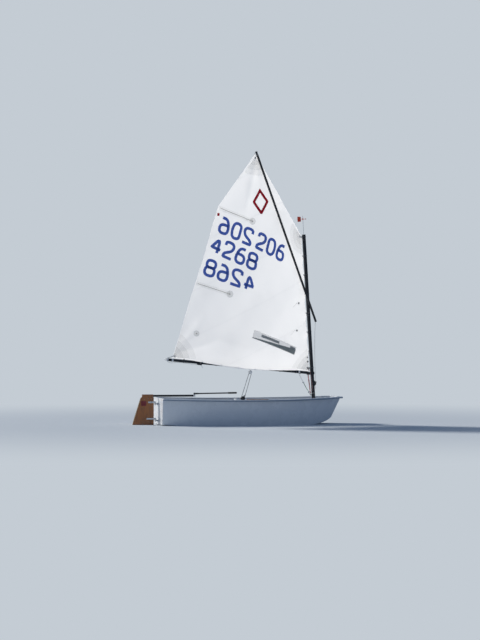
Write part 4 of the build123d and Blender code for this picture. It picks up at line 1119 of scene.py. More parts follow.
class DINGHY_OT_window(Operator):
    """Sets the clear window, the telltales and the eyelets in the sail"""

    bl_idname = "dinghy.window"
    bl_label = "Window, telltales and eyelets"

    def execute(self, context):
        settings = context.scene.dinghy_sail
        film, band, marks, hem, dark, yarns, eyes = (Shells() for _ in range(7))
        corners = np.array(((0.878, 1.192), (0.245, 0.939), (0.292, 0.847), (0.911, 1.095)))
        upper = np.array(((0.775, 1.130), (0.515, 1.028), (0.527, 1.000), (0.787, 1.100)))
        short = np.array(((0.345, 0.966), (0.262, 0.932), (0.272, 0.908), (0.355, 0.940)))
        lower = np.array(((0.910, 1.104), (0.262, 0.912), (0.290, 0.852), (0.911, 1.097)))
        for side in (1, -1):
            patch_on_sail(film, corners, side, settings, 0.0011, 10, 48)
            patch_on_sail(marks, upper, side, settings, 0.0014, 5, 24)
            patch_on_sail(marks, short, side, settings, 0.0014, 5, 12)
            # painted shade: a darker wedge of film along the window's lower edge
            patch_on_sail(band, lower, side, settings, 0.0014, 6, 44)
            strip_on_sail(hem, evenly(corners, 0.015, True), 0.010, side, settings, 0.0017, True)
        for aft, up in ((0.159, 1.490), (0.220, 1.149)):
            for side in (1, -1):
                disc_on_sail(dark, (aft, up), 0.012, side, settings, 0.0016, sides=16)
                share = np.linspace(0, 1, 24)
                drop = up + 0.012 * np.sin(5 * share) - 0.035 * share
                yarn = on_sail(aft + 0.12 * share, drop, 0.004 * side, settings)
                cord_line(yarns, yarn, 0.0010, 40, LEE, 6)
        for aft, up, radius in ((0.060, 0.803, 0.009), (0.054, 0.749, 0.012)):
            for side in (1, -1):
                disc_on_sail(dark, (aft, up), radius, side, settings, 0.0022, sides=16)
        self.eyelets(eyes, settings)
        keep("rig", (
            (film, "window_film", "window_film", "sailcloth"),
            (band, "window_painted_shade", "window_painted_shade", "sailcloth"),
            (marks, "window_print", "window_print", "sailcloth"),
            (yarns, "telltale_yarns", "white_line", "cordage"),
            (hem, "window_hem", "patch_cloth", "sailcloth"),
            (dark, "telltales", "dark_line", "cordage"),
        ), closed=False)
        keep("rig", ((eyes, "sail_eyelets", "brushed_stainless", "stainless"),))
        return {"FINISHED"}

    @staticmethod
    def eyelets(shells, settings):
        """Pressed rings through the cloth at the luff's ties and its foot, and larger ones in the corners."""
        places = [(0.046, up, 0.0045) for up in TIE_UPS[:-1]]
        places += [(0.053, 0.803, 0.004), (0.049, 0.749, 0.004), (1.928, 0.940, 0.008)]
        places += [(0.062, 0.668, 0.007), (0.070, 2.325, 0.007), (0.712, 3.318, 0.007)]
        for aft, up, radius in places:
            for side in (1, -1):
                middle = on_sail(np.array([aft]), np.array([up]), 0.0012 * side, settings)[0]
                around(shells, middle, LEE, radius, radius * 1.9, 0.0011, 20, 8)


def lashing(shells, middle, axis, spar, eye, radius, turns, tail=0.035):
    """Line tied round a spar and through an eye of the sail: straight from the eye to where it touches the
    spar's circle, round the far side and back, for each turn, with a knot at the eye and two short tails."""
    axis = unit(axis)
    reach = np.asarray(eye, float) - middle
    reach = reach - (reach @ axis) * axis
    far = np.linalg.norm(reach)
    first = reach / far
    second = np.cross(axis, first)
    bend = spar + radius * 1.15
    touch = np.arccos(min(0.98, bend / far))
    angle = np.linspace(touch, 2 * np.pi - touch, 40)
    loop = np.vstack([(far, 0.0), np.stack([bend * np.cos(angle), bend * np.sin(angle)], 1)])
    flat = evenly(loop, 0.003, True)
    for turn in range(turns):
        shift = (turn - (turns - 1) / 2) * 2.1 * radius
        path = middle + flat[:, :1] * first + flat[:, 1:] * second + shift * axis
        sweep(shells, path, ring_profile(radius, 8), axis, closed=True)
    knot = middle + first * (bend * 1.02) + second * (radius * 1.4) + (far - bend) * 0.45 * first
    ball(shells, knot, radius * 2.2, 0.14, (1.0, 1.15, 1.0))
    down = np.array((0.0, 0.0, -tail))
    for sway in (-1, 1):
        end = knot + down + first * 0.010 * sway + second * 0.006
        bend_place = knot + down * 0.45 + first * 0.008 * sway + second * 0.009
        cord_line(shells, (knot, bend_place, end), radius * 0.9, 14, axis, 8)


class DINGHY_OT_lashings(Operator):
    """Ties the sail's luff to the mast and its foot to the boom"""

    bl_idname = "dinghy.lashings"
    bl_label = "Lashings"

    def execute(self, context):
        settings = context.scene.dinghy_sail
        luff, foot, straps = Shells(), Shells(), Shells()
        # eye's aft and up, the line's radius and its turns: the ties, the lowest tie and the tack
        for aft, up, radius, turns in (
            *((0.045, up, 0.0017, 2) for up in TIE_UPS[:-1]),
            (0.046, 0.880, 0.0017, 2),
            (0.062, 0.668, 0.0020, 3),
        ):
            eye = on_sail(np.array([aft]), np.array([up]), 0.0, settings)[0]
            lashing(luff, rig(0.0, up), UP, MAST_RADIUS, eye, radius, turns)
        tack, clew = LUFF[0], LEECH[0]
        for share in np.linspace(0.10, 0.92, 8):
            place = tack + (clew - tack) * share
            eye = rig(place[0], place[1] + 0.004, 0.012)
            along = place[0] / np.cos(BOOM_RISE) + 0.003
            lashing(foot, boom_place(along), BOOM_ALONG, BOOM_RADIUS, eye, 0.0017, 2, 0.030)
        for along, half in ((0.195, 0.011), (1.985, 0.012)):
            self.strap(straps, along, half)
        made = luff.piece("luff_lashings", "dark_line", "cordage", "rig")
        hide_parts("luff_ties")
        foot.piece("foot_lashings", "dark_line", "cordage", "rig")
        straps.piece("boom_straps", "white_webbing", "webbing", "rig")
        return {"FINISHED"}

    @staticmethod
    def strap(shells, along, half):
        """Webbing band round the boom: a flat section with rounded edges carried round the boom's circle."""
        turn = round_turn(40)
        # out from the boom, along it as a share of half the width
        wall = np.array((
            (0.0004, -1.0), (0.0022, -0.94), (0.0024, 0.0), (0.0022, 0.94), (0.0004, 1.0), (0.0003, 0.0),
        ))
        middle = boom_place(along)
        down = np.cross(BOOM_ALONG, LEE)
        reach = BOOM_RADIUS + wall[:, 0]
        ring = np.cos(turn)[:, None, None] * LEE + np.sin(turn)[:, None, None] * down
        points = middle + reach[None, :, None] * ring + (wall[:, 1] * half)[None, :, None] * BOOM_ALONG
        return shells.grid(points, True, True)


class DINGHY_OT_lines(Operator):
    """Rigs the sprit's line, the peak's loop, the outhaul, the vang and the downhaul"""

    bl_idname = "dinghy.lines"
    bl_label = "Lines"

    def execute(self, context):
        white, green, red, dark, pale = (Shells() for _ in range(5))
        heel, tip = (rig(*end, sprit_lee(end[0])) for end in (SPRIT_HEEL, SPRIT_TIP))
        ahead = MAST_RADIUS + 0.014
        # sling of the heel: two parts from the mast's eye down to the heel, and the tail down to the cleat
        eye = rig(-ahead, 1.470)
        for sway in (-0.004, 0.004):
            cord_line(white, (
                eye + sway * LEE, rig(-0.060, 1.38, 0.008 + sway), heel + 0.006 * UP + sway * LEE,
            ), 0.0022)
        ball(white, heel - 0.010 * UP, 0.0075, 0.12)
        cord_line(white, (
            heel - 0.012 * UP, rig(-0.068, 1.10, 0.014), rig(-0.052, 0.80, 0.004), rig(-0.042, 0.505),
        ), 0.0020, 60)
        tail = (rig(-0.042, 0.505), rig(-0.036, 0.47), rig(-0.034, 0.44), rig(-0.040, 0.40))
        cord_line(white, tail, 0.0020, 24)
        turned(dark, rig(-0.046, 0.47), UP + 0.4 * LEE, (
            (0.001, -0.022), (0.006, -0.021), (0.0075, -0.016), (0.0055, 0.0), (0.0075, 0.016),
            (0.006, 0.021), (0.001, 0.022),
        ), 16)
        # peak's loop over the sprit's tip
        peak = rig(0.712, 3.318, sprit_lee(0.690) - 0.020)
        for sway in (-0.0025, 0.0025):
            cord_line(white, (
                peak + sway * AFT, peak + 0.045 * UP - 0.016 * LEE, tip + 0.016 * UP - 0.010 * LEE,
                tip + 0.022 * UP + 0.004 * LEE + sway * AFT, tip - 0.018 * UP + 0.018 * LEE,
                peak + 0.012 * UP + 0.016 * LEE,
            ), 0.0018, 60)
        # outhaul: clew to the boom's end eye and forward under the boom to its cleat
        clew = rig(1.928, 0.940)
        end = boom_place(2.070)
        for sway in (-0.003, 0.003):
            cord_line(white, (clew + sway * UP, end + 0.012 * UP + sway * LEE), 0.0020, 12, UP)
        cord_line(white, (
            end - 0.004 * UP, boom_place(2.040, 0.026), boom_place(1.90, 0.0215), boom_place(1.70, 0.0265),
            boom_place(1.62, 0.029), boom_place(1.58, 0.034, 0.004), boom_place(1.56, 0.062, 0.008),
        ), 0.0018, 90)
        # vang: from the boom's eye down and forward to the mast
        top = boom_place(0.185, 0.033)
        low = rig(0.062, 0.352)
        middle = top + (low - top) * 0.42
        cord_line(white, (top, middle), 0.0022, 16)
        self.small_block(pale, dark, middle)
        for sway in (-0.004, 0.004):
            run = (middle, middle + (low - middle) * 0.5, low + 0.010 * UP)
            cord_line(green, run + sway * LEE, 0.0022, 24)
        self.small_block(pale, dark, low + 0.012 * UP)
        ball(white, rig(0.038, 0.328), 0.010, 0.10)
        for sway in (-0.005, 0.005):
            end = low + 0.010 * UP + sway * LEE
            cord_line(white, (end, rig(0.046, 0.334, sway), rig(0.026, 0.345, 3 * sway)), 0.0022, 16)
        square = ((0.030, 0.0), (0.0, 0.030), (-0.030, 0.0), (0.0, -0.030))
        ring = evenly(round_corners(square, True), 0.004, True)
        loop = MAST_FOOT + ring[:, :1] * AFT + ring[:, 1:] * LEE + 0.348 * UP
        sweep(white, loop, ring_profile(0.0022, 8), UP, closed=True)
        # downhaul: from the tack round the front of the boom's jaw to the mast
        afts = (0.062, 0.048, 0.036, 0.030, 0.026, 0.026)
        ups = (0.668, 0.630, 0.575, 0.500, 0.420, 0.372)
        for lees in (
            (0.004, 0.028, 0.034, 0.026, 0.024, 0.022),
            (-0.004, -0.028, -0.036, -0.028, -0.024, -0.022),
        ):
            cord_line(red, rig(afts, ups, lees), 0.0019, 60)
        # purchase of the downhaul: taut parts from under the boom's jaw to the loop round the mast
        for lee in (-0.009, -0.003, 0.003, 0.009):
            cord_line(red, (
                rig(0.060, 0.594, 1.2 * lee), rig(0.054, 0.508, lee), rig(0.043, 0.362, 0.8 * lee),
            ), 0.0021, 40)
        around(red, rig(0.0545, 0.512), UP + 0.12 * AFT, 0.0105, 0.0138, 0.0022, 24, 6)
        ball(red, rig(0.040, 0.356), 0.0085, 0.10)
        keep("rig", (
            (white, "rig_lines", "white_line", "cordage"),
            (green, "vang_line", "green_line", "cordage"),
            (red, "downhaul_line", "red_line", "cordage"),
            (dark, "line_toggles", "black_fitting_plastic", "black_plastic"),
            (pale, "line_blocks", "pale_fitting_plastic", "pale_plastic"),
        ))
        return {"FINISHED"}

    @staticmethod
    def small_block(pale, dark, middle):
        """Small rope block: two turned cheeks either side of a turned wheel."""
        for side in (-1, 1):
            turned(pale, middle + side * 0.0055 * LEE, LEE, (
                (0.0005, -0.0014), (0.0095, -0.0014), (0.0105, 0.0), (0.0095, 0.0014), (0.0005, 0.0014),
            ), 20)
        turned(dark, middle, LEE, (
            (0.0005, -0.0035), (0.0085, -0.0035), (0.0065, 0.0), (0.0085, 0.0035), (0.0005, 0.0035),
        ), 20)


class DINGHY_OT_sheet_line(Operator):
    """Reeves the main sheet between the boom's block and the ratchet block"""

    bl_idname = "dinghy.sheet_line"
    bl_label = "Main sheet"

    def execute(self, context):
        shells = Shells()
        ratchet = np.array((-0.070, 0.0, 0.323))
        along, drop = 0.905, 0.062
        block = rig(
            along * np.cos(BOOM_RISE) - drop * np.sin(BOOM_RISE),
            BOOM_HEIGHT + along * np.sin(BOOM_RISE) - drop * np.cos(BOOM_RISE),
        )
        reach = block - ratchet
        for part in (0.021, -0.021):
            start = ratchet + np.array((part, 0.0, 0.006))
            end = block + np.array((part * 0.72, 0.0, -0.006))
            points = start + (end - start) * np.linspace(0, 1, 40)[:, None]
            sweep(shells, points, ring_profile(0.0038, 10), (0, 1, 0.2))
        ball(shells, ratchet + np.array((0.016, -0.006, 0.032)), 0.009, 0.12)
        sheet = shells.piece("main_sheet", "grey_line", "cordage", None)
        tuple(ratchet + 0.06 * reach)
        tuple(ratchet + 0.94 * reach)
        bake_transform(sheet)
        return {"FINISHED"}


def rows_of(mesh, what="co"):
    """A mesh's places or normals as rows of X, Y and Z."""
    numbers = np.zeros(len(mesh.vertices) * 3, np.float32)
    mesh.vertices.foreach_get(what, numbers)
    return numbers.reshape(-1, 3).astype(float)


def surface_of(thing):
    """Search tree over an object's faces."""
    places = [vertex.co for vertex in thing.data.vertices]
    return BVHTree.FromPolygons(places, [face.vertices for face in thing.data.polygons])


def turn_about(axis, degrees):
    """Matrix that turns about an axis, 0 for X, 1 for Y or 2 for Z."""
    angle = np.radians(degrees)
    first, second = ((1, 2), (2, 0), (0, 1))[axis]
    matrix = np.eye(3)
    matrix[first, first] = matrix[second, second] = np.cos(angle)
    matrix[first, second], matrix[second, first] = -np.sin(angle), np.sin(angle)
    return matrix


SIDE_BAG = np.array((0.910, 0.155, 0.215))
SIDE_BAG_PLACE = np.array((-0.630, 0.3769, 0.1744))
STRAP_SHARES = (-0.36, 0.0, 0.36)
STRAP_HALF = 0.0225


def side_bag_frame(side):
    """Middle and directions of a side bag: turned by 5.24 degrees and leaned by 10.1 as the skin is there."""
    matrix = turn_about(2, side * 5.24) @ turn_about(0, -side * 10.098)
    return SIDE_BAG_PLACE * (1, side, 1), matrix


def rounded_outline(half_first, half_second, radius, count):
    """Closed rectangle with round corners as points in its plane, evenly spaced."""
    corner = np.linspace(0, np.pi / 2, 12)
    arcs = [
        np.stack([
            sign_first * (half_first - radius) + radius * np.cos(corner + quarter),
            sign_second * (half_second - radius) + radius * np.sin(corner + quarter),
        ], 1)
        for sign_first, sign_second, quarter in (
            (1, 1, 0), (-1, 1, np.pi / 2), (-1, -1, np.pi), (1, -1, 1.5 * np.pi),
        )
    ]
    outline = np.vstack(arcs)
    length = np.linalg.norm(np.diff(np.vstack([outline, outline[:1]]), axis=0), axis=1).sum()
    return evenly(outline, length / count, True)


def band_profile(half_width, half_thick):
    """Flat band's section: a rectangle whose two short sides are half circles, as (side, out) offsets."""
    turn = np.linspace(-np.pi / 2, np.pi / 2, 6)
    right = np.stack([half_width - half_thick + half_thick * np.cos(turn), half_thick * np.sin(turn)], 1)
    top = np.stack([np.linspace(half_width, -half_width, 7)[1:-1] * 0.96, np.full(5, half_thick)], 1)
    return np.vstack([right, top, -right, -top])


class DINGHY_OT_bags(Operator):
    """Makes the three welded buoyancy bags, blown up between their straps, with weld beads and valves"""

    bl_idname = "dinghy.bags"
    bl_label = "Buoyancy bags"

    def execute(self, context):
        hull = surface_of(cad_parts["hull_shell"])
        beads, valves = Shells(), Shells()
        for side, word in ((1, "port"), (-1, "starboard")):
            middle, matrix = side_bag_frame(side)
            bag = self.blank(f"buoyancy_bag_{word}", f"side_bag_{word}")
            places = rows_of(bag.data)
            local = (places - middle) @ matrix
            strapped = np.min([np.abs(local[:, 0] - share * SIDE_BAG[0]) for share in STRAP_SHARES], 0)
            loose = soft_step(STRAP_HALF + 0.002, STRAP_HALF + 0.030, strapped) * self.away(places, hull)
            self.fill(context, bag, loose)
            outline = rounded_outline(SIDE_BAG[0] / 2, SIDE_BAG[2] / 2, 0.060, 300)
            flat = np.stack([outline[:, 0], np.zeros(len(outline)), outline[:, 1]], 1)
            self.bead(beads, bag, middle + flat @ matrix.T)
            self.valve(valves, bag, middle + np.array((0.385, -side * 0.10, 0.045)) @ matrix.T)
        bag = self.blank("buoyancy_bag_bow", "bow_bag")
        self.fill(context, bag, self.away(rows_of(bag.data), hull))
        outline = rounded_outline(0.240, 0.095, 0.055, 200)
        flat = np.stack([np.zeros(len(outline)), outline[:, 0], outline[:, 1]], 1)
        self.bead(beads, bag, np.array((1.0, 0.0, 0.207)) + flat)
        self.valve(valves, bag, np.array((0.90, 0.19, 0.24)))
        keep("hull", (
            (beads, "bag_beads", "bag_film", "bag"),
            (valves, "bag_valves", "black_fitting_plastic", "black_plastic"),
        ))
        return {"FINISHED"}

    @staticmethod
    def blank(node, name):
        """Even mesh over the CAD bag: its own triangles merged and remeshed in cubes of 7 mm."""
        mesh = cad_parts[node].data.copy()
        tidy = bmesh.new()
        tidy.from_mesh(mesh)
        bmesh.ops.remove_doubles(tidy, verts=tidy.verts, dist=1e-5)
        tidy.to_mesh(mesh)
        tidy.free()
        bag = bpy.data.objects.new(name, mesh)
        bpy.context.scene.collection.objects.link(bag)
        cubes = bag.modifiers.new("even", "REMESH")
        cubes.mode = "VOXEL"
        cubes.voxel_size = 0.007
        DINGHY_OT_bags.apply(bag)
        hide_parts(node)
        return bag

    @staticmethod
    def apply(bag):
        """Keeps the mesh that the modifiers give and takes them off."""
        seen = bag.evaluated_get(bpy.context.evaluated_depsgraph_get())
        mesh = bpy.data.meshes.new_from_object(seen)
        bag.modifiers.clear()
        bag.data = mesh

    @staticmethod
    def away(places, hull):
        """0 where the bag presses on the hull, 1 from 25 mm away."""
        near = np.array([hull.find_nearest(Vector(place))[3] for place in places])
        return soft_step(0.004, 0.025, near)

    def fill(self, context, bag, loose):
        """Blows the bag up where it is loose: cloth under pressure for 20 frames from a shape 2 mm inside it,
        no point moved over 10 mm, then one subdivision."""
        inside, swell, furthest, frames = 0.002, 0.007, 0.010, 20
        start, normals = rows_of(bag.data), rows_of(bag.data, "normal")
        shrunk = start - normals * (inside * loose)[:, None]
        bag.data.vertices.foreach_set("co", shrunk.astype(np.float32).ravel())
        held = bag.vertex_groups.new(name="held")
        for level, firmness in enumerate((1.0, 0.75, 0.5, 0.25, 0.0)):
            chosen = np.flatnonzero((loose >= level / 5) & (loose < (level + 1) / 5 + (level == 4)))
            held.add(chosen.tolist(), firmness, "REPLACE")
        cloth = bag.modifiers.new("inflate", "CLOTH")
        for key, value in (
            ("quality", 5),
            ("mass", 0.2),
            ("tension_stiffness", 30.0),
            ("compression_stiffness", 30.0),
            ("shear_stiffness", 12.0),
            ("bending_stiffness", 0.4),
            ("use_pressure", True),
            ("uniform_pressure_force", 4.0),
            ("shrink_min", -0.035),
            ("vertex_group_mass", "held"),
        ):
            setattr(cloth.settings, key, value)
        cloth.settings.effector_weights.gravity = 0.0
        cloth.collision_settings.use_collision = False
        for step in range(frames):
            context.scene.frame_set(step + 1)
        moved = rows_of(bag.evaluated_get(context.evaluated_depsgraph_get()).data)
        context.scene.frame_set(1)
        bag.modifiers.clear()
        bag.vertex_groups.clear()
        shift = moved - start
        far = np.linalg.norm(shift, axis=1, keepdims=True)
        shift *= np.minimum(1, furthest * loose[:, None] / np.maximum(far, 1e-9))
        bag.data.vertices.foreach_set("co", (start + shift).astype(np.float32).ravel())
        bag.data.update()
        finer = bag.modifiers.new("finer", "SUBSURF")
        finer.levels = finer.render_levels = 1
        self.apply(bag)
        bag.data.polygons.foreach_set("use_smooth", np.ones(len(bag.data.polygons), bool))
        bag.data.materials.clear()
        bag.data.materials.append(bpy.data.materials["bag_film"])
        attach(bag, "hull")

    @staticmethod
    def bead(shells, bag, path):
        """Weld bead round the bag: its path drawn onto the bag's skin and smoothed by the mean of each seven
        neighbours, and a flat oval carried along it."""
        skin = surface_of(bag)
        found = [skin.find_nearest(Vector(point)) for point in path]
        places = np.array([hit[0] + hit[1] * 0.0004 for hit in found])
        normals = np.array([hit[1] for hit in found])
        kernel = np.ones(7) / 7
        places, normals = (
            np.stack([
                np.convolve(np.concatenate([part[-3:, axis], part[:, axis], part[:3, axis]]), kernel, "valid")
                for axis in range(3)
            ], 1)
            for part in (places, normals)
        )
        return sweep(shells, places, ring_profile(0.0042, 10, 0.28), normals, closed=True)

    @staticmethod
    def valve(shells, bag, near):
        """Round valve with a ribbed cap, standing on the bag."""
        place, normal, _, _ = surface_of(bag).find_nearest(Vector(near))
        turned(shells, np.array(place), np.array(normal), (
            (0.001, -0.002), (0.019, -0.002), (0.0192, 0.0006), (0.0165, 0.0014), (0.0120, 0.0020),
            (0.0118, 0.0065), (0.0108, 0.0078), (0.0070, 0.0080), (0.0062, 0.0070), (0.001, 0.0068),
        ), 30)


class DINGHY_OT_straps(Operator):
    """Makes the bags' webbing straps with their buckles, and the toe straps with their sleeves and plates"""

    bl_idname = "dinghy.straps"
    bl_label = "Straps"

    def execute(self, context):
        webbing, buckles, toes, sleeves, plates = (Shells() for _ in range(5))
        for side, word in ((1, "port"), (-1, "starboard")):
            middle, matrix = side_bag_frame(side)
            near = surface_of(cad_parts[f"bag_straps_{word}"])
            outline = rounded_outline(SIDE_BAG[1] / 2 + 0.002, SIDE_BAG[2] / 2 + 0.002, 0.064, 220)
            for share in STRAP_SHARES:
                flat = np.stack([np.full(len(outline), share * SIDE_BAG[0]), outline[:, 0], outline[:, 1]], 1)
                path = middle + flat @ matrix.T
                kept = np.array([near.find_nearest(Vector(point))[3] < 0.0024 for point in path])
                first = int(np.flatnonzero(kept & ~np.roll(kept, 1))[0]) if not kept.all() else 0
                path = np.roll(path, -first, 0)[:int(kept.sum())]
                outwards = np.cross(matrix[:, 0], np.gradient(path, axis=0))
                sweep(webbing, path, band_profile(STRAP_HALF, 0.0013), outwards)
                face = np.array((share * SIDE_BAG[0], -side * (SIDE_BAG[1] / 2 + 0.006), 0.022))
                self.buckle(buckles, webbing, middle + face @ matrix.T, matrix, side)
            self.toe_strap(toes, sleeves, plates, side)
        straps = webbing.piece("bag_straps", "strap_webbing", "webbing", "hull")
        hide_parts("bag_straps_port", "bag_straps_starboard")
        buckles.piece("strap_buckles", "black_fitting_plastic", "black_plastic", "hull")
        toe = toes.piece("toe_strap_webbing", "strap_webbing", "webbing", "hull")
        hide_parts("toe_straps")
        sleeves.piece("toe_strap_sleeves", "sleeve_foam", "webbing", "hull")
        plates.piece("toe_strap_plates", "brushed_stainless", "stainless", "hull")
        return {"FINISHED"}

    @staticmethod
    def buckle(buckles, webbing, middle, matrix, side):
        """Ladder buckle on the strap: a round-cornered frame, two bars, and the strap's end through it."""
        ring = rounded_outline(0.031, 0.019, 0.006, 60)
        path = middle + ring[:, :1] * matrix[:, 0] + ring[:, 1:] * matrix[:, 2]
        sweep(buckles, path, ring_profile(0.0027, 10, 0.8), matrix[:, 1], closed=True)
        for level in (-0.006, 0.007):
            ends = np.array((-0.030, 0.030))[:, None] * matrix[:, 0] + level * matrix[:, 2] + middle
            cord_line(buckles, np.linspace(*ends, 6), 0.0020, 12, matrix[:, 1], 8)
        inward = -side * matrix[:, 1]
        # along the strap, off it towards the middle of the boat
        tail = np.array(((0.006, 0.0030), (-0.004, 0.0046), (-0.030, 0.0005), (-0.062, -0.0010)))
        path = smooth_line(middle + tail[:, :1] * matrix[:, 2] + tail[:, 1:] * inward, 24)
        sweep(webbing, path, band_profile(STRAP_HALF - 0.001, 0.0011), inward)

    @staticmethod
    def toe_strap(toes, sleeves, plates, side):
        """Slack strap from the midship frame to the transom: a flat band along a smooth line through five
        heights, in a sleeve whose thickness ripples by 6%, and a plate with two screws at each end."""
        out = side * 0.135
        line = np.array((
            (-0.0915, out, -0.0022), (-0.353, out, 0.028), (-0.616, out, 0.0635), (-0.88, out, 0.1005),
            (-1.140, out, 0.1410),
        ))
        path = smooth_line(line, 90)
        sweep(toes, path, band_profile(0.025, 0.0015), (0, 0, 1))
        middle = smooth_line(line[1:4], 60)
        share = np.linspace(-1, 1, 60)
        swell = np.sqrt(np.clip(1 - share ** 8, 0.02, 1)) * (1 + 0.06 * np.sin(share * 34))
        profile = band_profile(0.0285, 0.0042)[None] * np.stack([0.93 + 0.07 * swell, swell], 1)[:, None]
        sweep(sleeves, middle, profile, (0, 0, 1))
        for x, z, way in ((-1.1405, 0.152, 1), (-0.0915, 0.010, -1)):
            plate = rounded_outline(0.026, 0.009, 0.004, 40)
            ring = np.stack([np.full(len(plate), x), out + plate[:, 0], z + plate[:, 1]], 1)
            inner = ring + np.array((0.0016 * way, 0, 0))
            plates.grid(np.stack([ring, inner]), False, True).cap(inner).cap(ring, True)
            for offset in (-0.016, 0.016):
                screw(plates, (x + 0.0016 * way, out + offset, z), (way, 0, 0))


def screw(shells, place, way):
    """Pan-head screw: a low turned dome with a recess in its middle."""
    return turned(shells, place, way, (
        (0.0003, 0.0007), (0.0014, 0.0007), (0.0017, 0.0018), (0.0029, 0.0016), (0.0038, 0.0008),
        (0.0041, -0.0002), (0.0041, -0.0008), (0.0003, -0.0008),
    ), 12)


AHEAD, DOWN = (1, 0, 0), (0, 0, -1)


class DINGHY_OT_fastenings(Operator):
    """Drives the screws into the fittings, lays the red square on the rudder and makes the extension's foam
    grip
    """

    bl_idname = "dinghy.fastenings"
    bl_label = "Fastenings"

    # Part, then the start of a ray in metres and its direction; the screw sits where the ray meets the part.
    hull_screws = (
        *(("gudgeon_upper", (-1.4, y, z), AHEAD) for y in (-0.022, 0.022) for z in (0.252, 0.268)),
        *(("gudgeon_lower", (-1.4, y, z), AHEAD) for y in (-0.022, 0.022) for z in (0.047, 0.063)),
        *(("daggerboard_case", (0.065 * row, y, 1.0), DOWN) for row in range(5) for y in (-0.038, 0.038)),
        ("ratchet_block", (-0.082, 0.006, 0.255), DOWN),
        ("ratchet_block", (-0.058, 0.006, 0.255), DOWN),
        ("ratchet_block", (-0.070, -0.0125, 0.255), DOWN),
        *(("mast_collar", (x, y, 1.0), DOWN) for x in (0.812, 0.866) for y in (-0.026, 0.026)),
        *(("mast_thwart", (x, y, 1.0), DOWN) for x in (0.80, 0.88) for y in (-0.30, -0.22, 0.22, 0.30)),
        *(("corner_knees", (-1.12, y, 1.0), DOWN) for y in (-0.385, 0.385)),
        *(("corner_knees", (-1.095, y, 1.0), DOWN) for y in (-0.40, 0.40)),
        *(("midship_frame", (-0.07, y, 1.0), DOWN) for y in (-0.47, -0.42, 0.42, 0.47)),
    )
    rudder_screws = (
        *(("pintle_upper", (x, y, 0.280), (0, -y, 0)) for x in (-1.222, -1.252) for y in (-0.2, 0.2)),
        *(("pintle_lower", (x, y, 0.075), (0, -y, 0)) for x in (-1.222, -1.252) for y in (-0.2, 0.2)),
        *(("rudder_head", (x, y, 0.322), (0, -y, 0)) for x in (-1.235, -1.275, -1.318) for y in (-0.2, 0.2)),
    )

    def execute(self, context):
        for name, rows, body in (
            ("hull_screws", self.hull_screws, "hull"),
            ("rudder_screws", self.rudder_screws, "rudder"),
        ):
            shells = Shells()
            skins = {node: surface_of(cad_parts[node]) for node in {row[0] for row in rows}}
            for node, start, way in rows:
                place, _, _, _ = skins[node].ray_cast(Vector(start), Vector(way).normalized())
                if place is None:
                    raise RuntimeError(f"no place for a screw on {node} from {start}")
                screw(shells, np.array(place), -np.asarray(way, float))
            shells.piece(name, "brushed_stainless", "stainless", body)
        square, outline = Shells(), rounded_outline(0.0315, 0.0315, 0.003, 60)
        for side in (-1, 1):
            low = np.array((-1.328, side * 0.0074, 0.266)) + np.insert(outline, 1, 0.0, axis=1)
            high = low + np.array((0, side * 0.0008, 0))
            square.grid(np.stack([low, high]), False, True).cap(high).cap(low, True)
        square.piece("rudder_square", "red_film", "varnished_wood", "rudder")
        self.grip()
        return {"FINISHED"}

    @staticmethod
    def grip():
        """Foam grip of the extension: a turned shape, its radius 10.3 mm plus 20 ripples of 0.6 mm, each the
        sine of half a turn raised to 0.6."""
        along = np.linspace(0, 1, 161)
        radius = 0.0103 + 0.0006 * np.abs(np.sin(np.pi * along * 20)) ** 0.6
        ends = np.clip(np.minimum(along, 1 - along) * 40, 0, 1)
        radius = radius * np.sqrt(1 - (1 - ends) ** 2 * 0.75)
        way = np.array((np.cos(np.radians(25)), np.sin(np.radians(25)), 0.0))
        start = np.array((-0.6872, 0.0, 0.385)) + 0.520 * way
        shells = turned(Shells(), start, way, np.stack([radius, along * 0.130], 1), 28)
        grip = shells.piece("extension_grip_foam", "grip_foam", "grip_rubber", "extension", sharp=0)
        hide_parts("extension_grip")


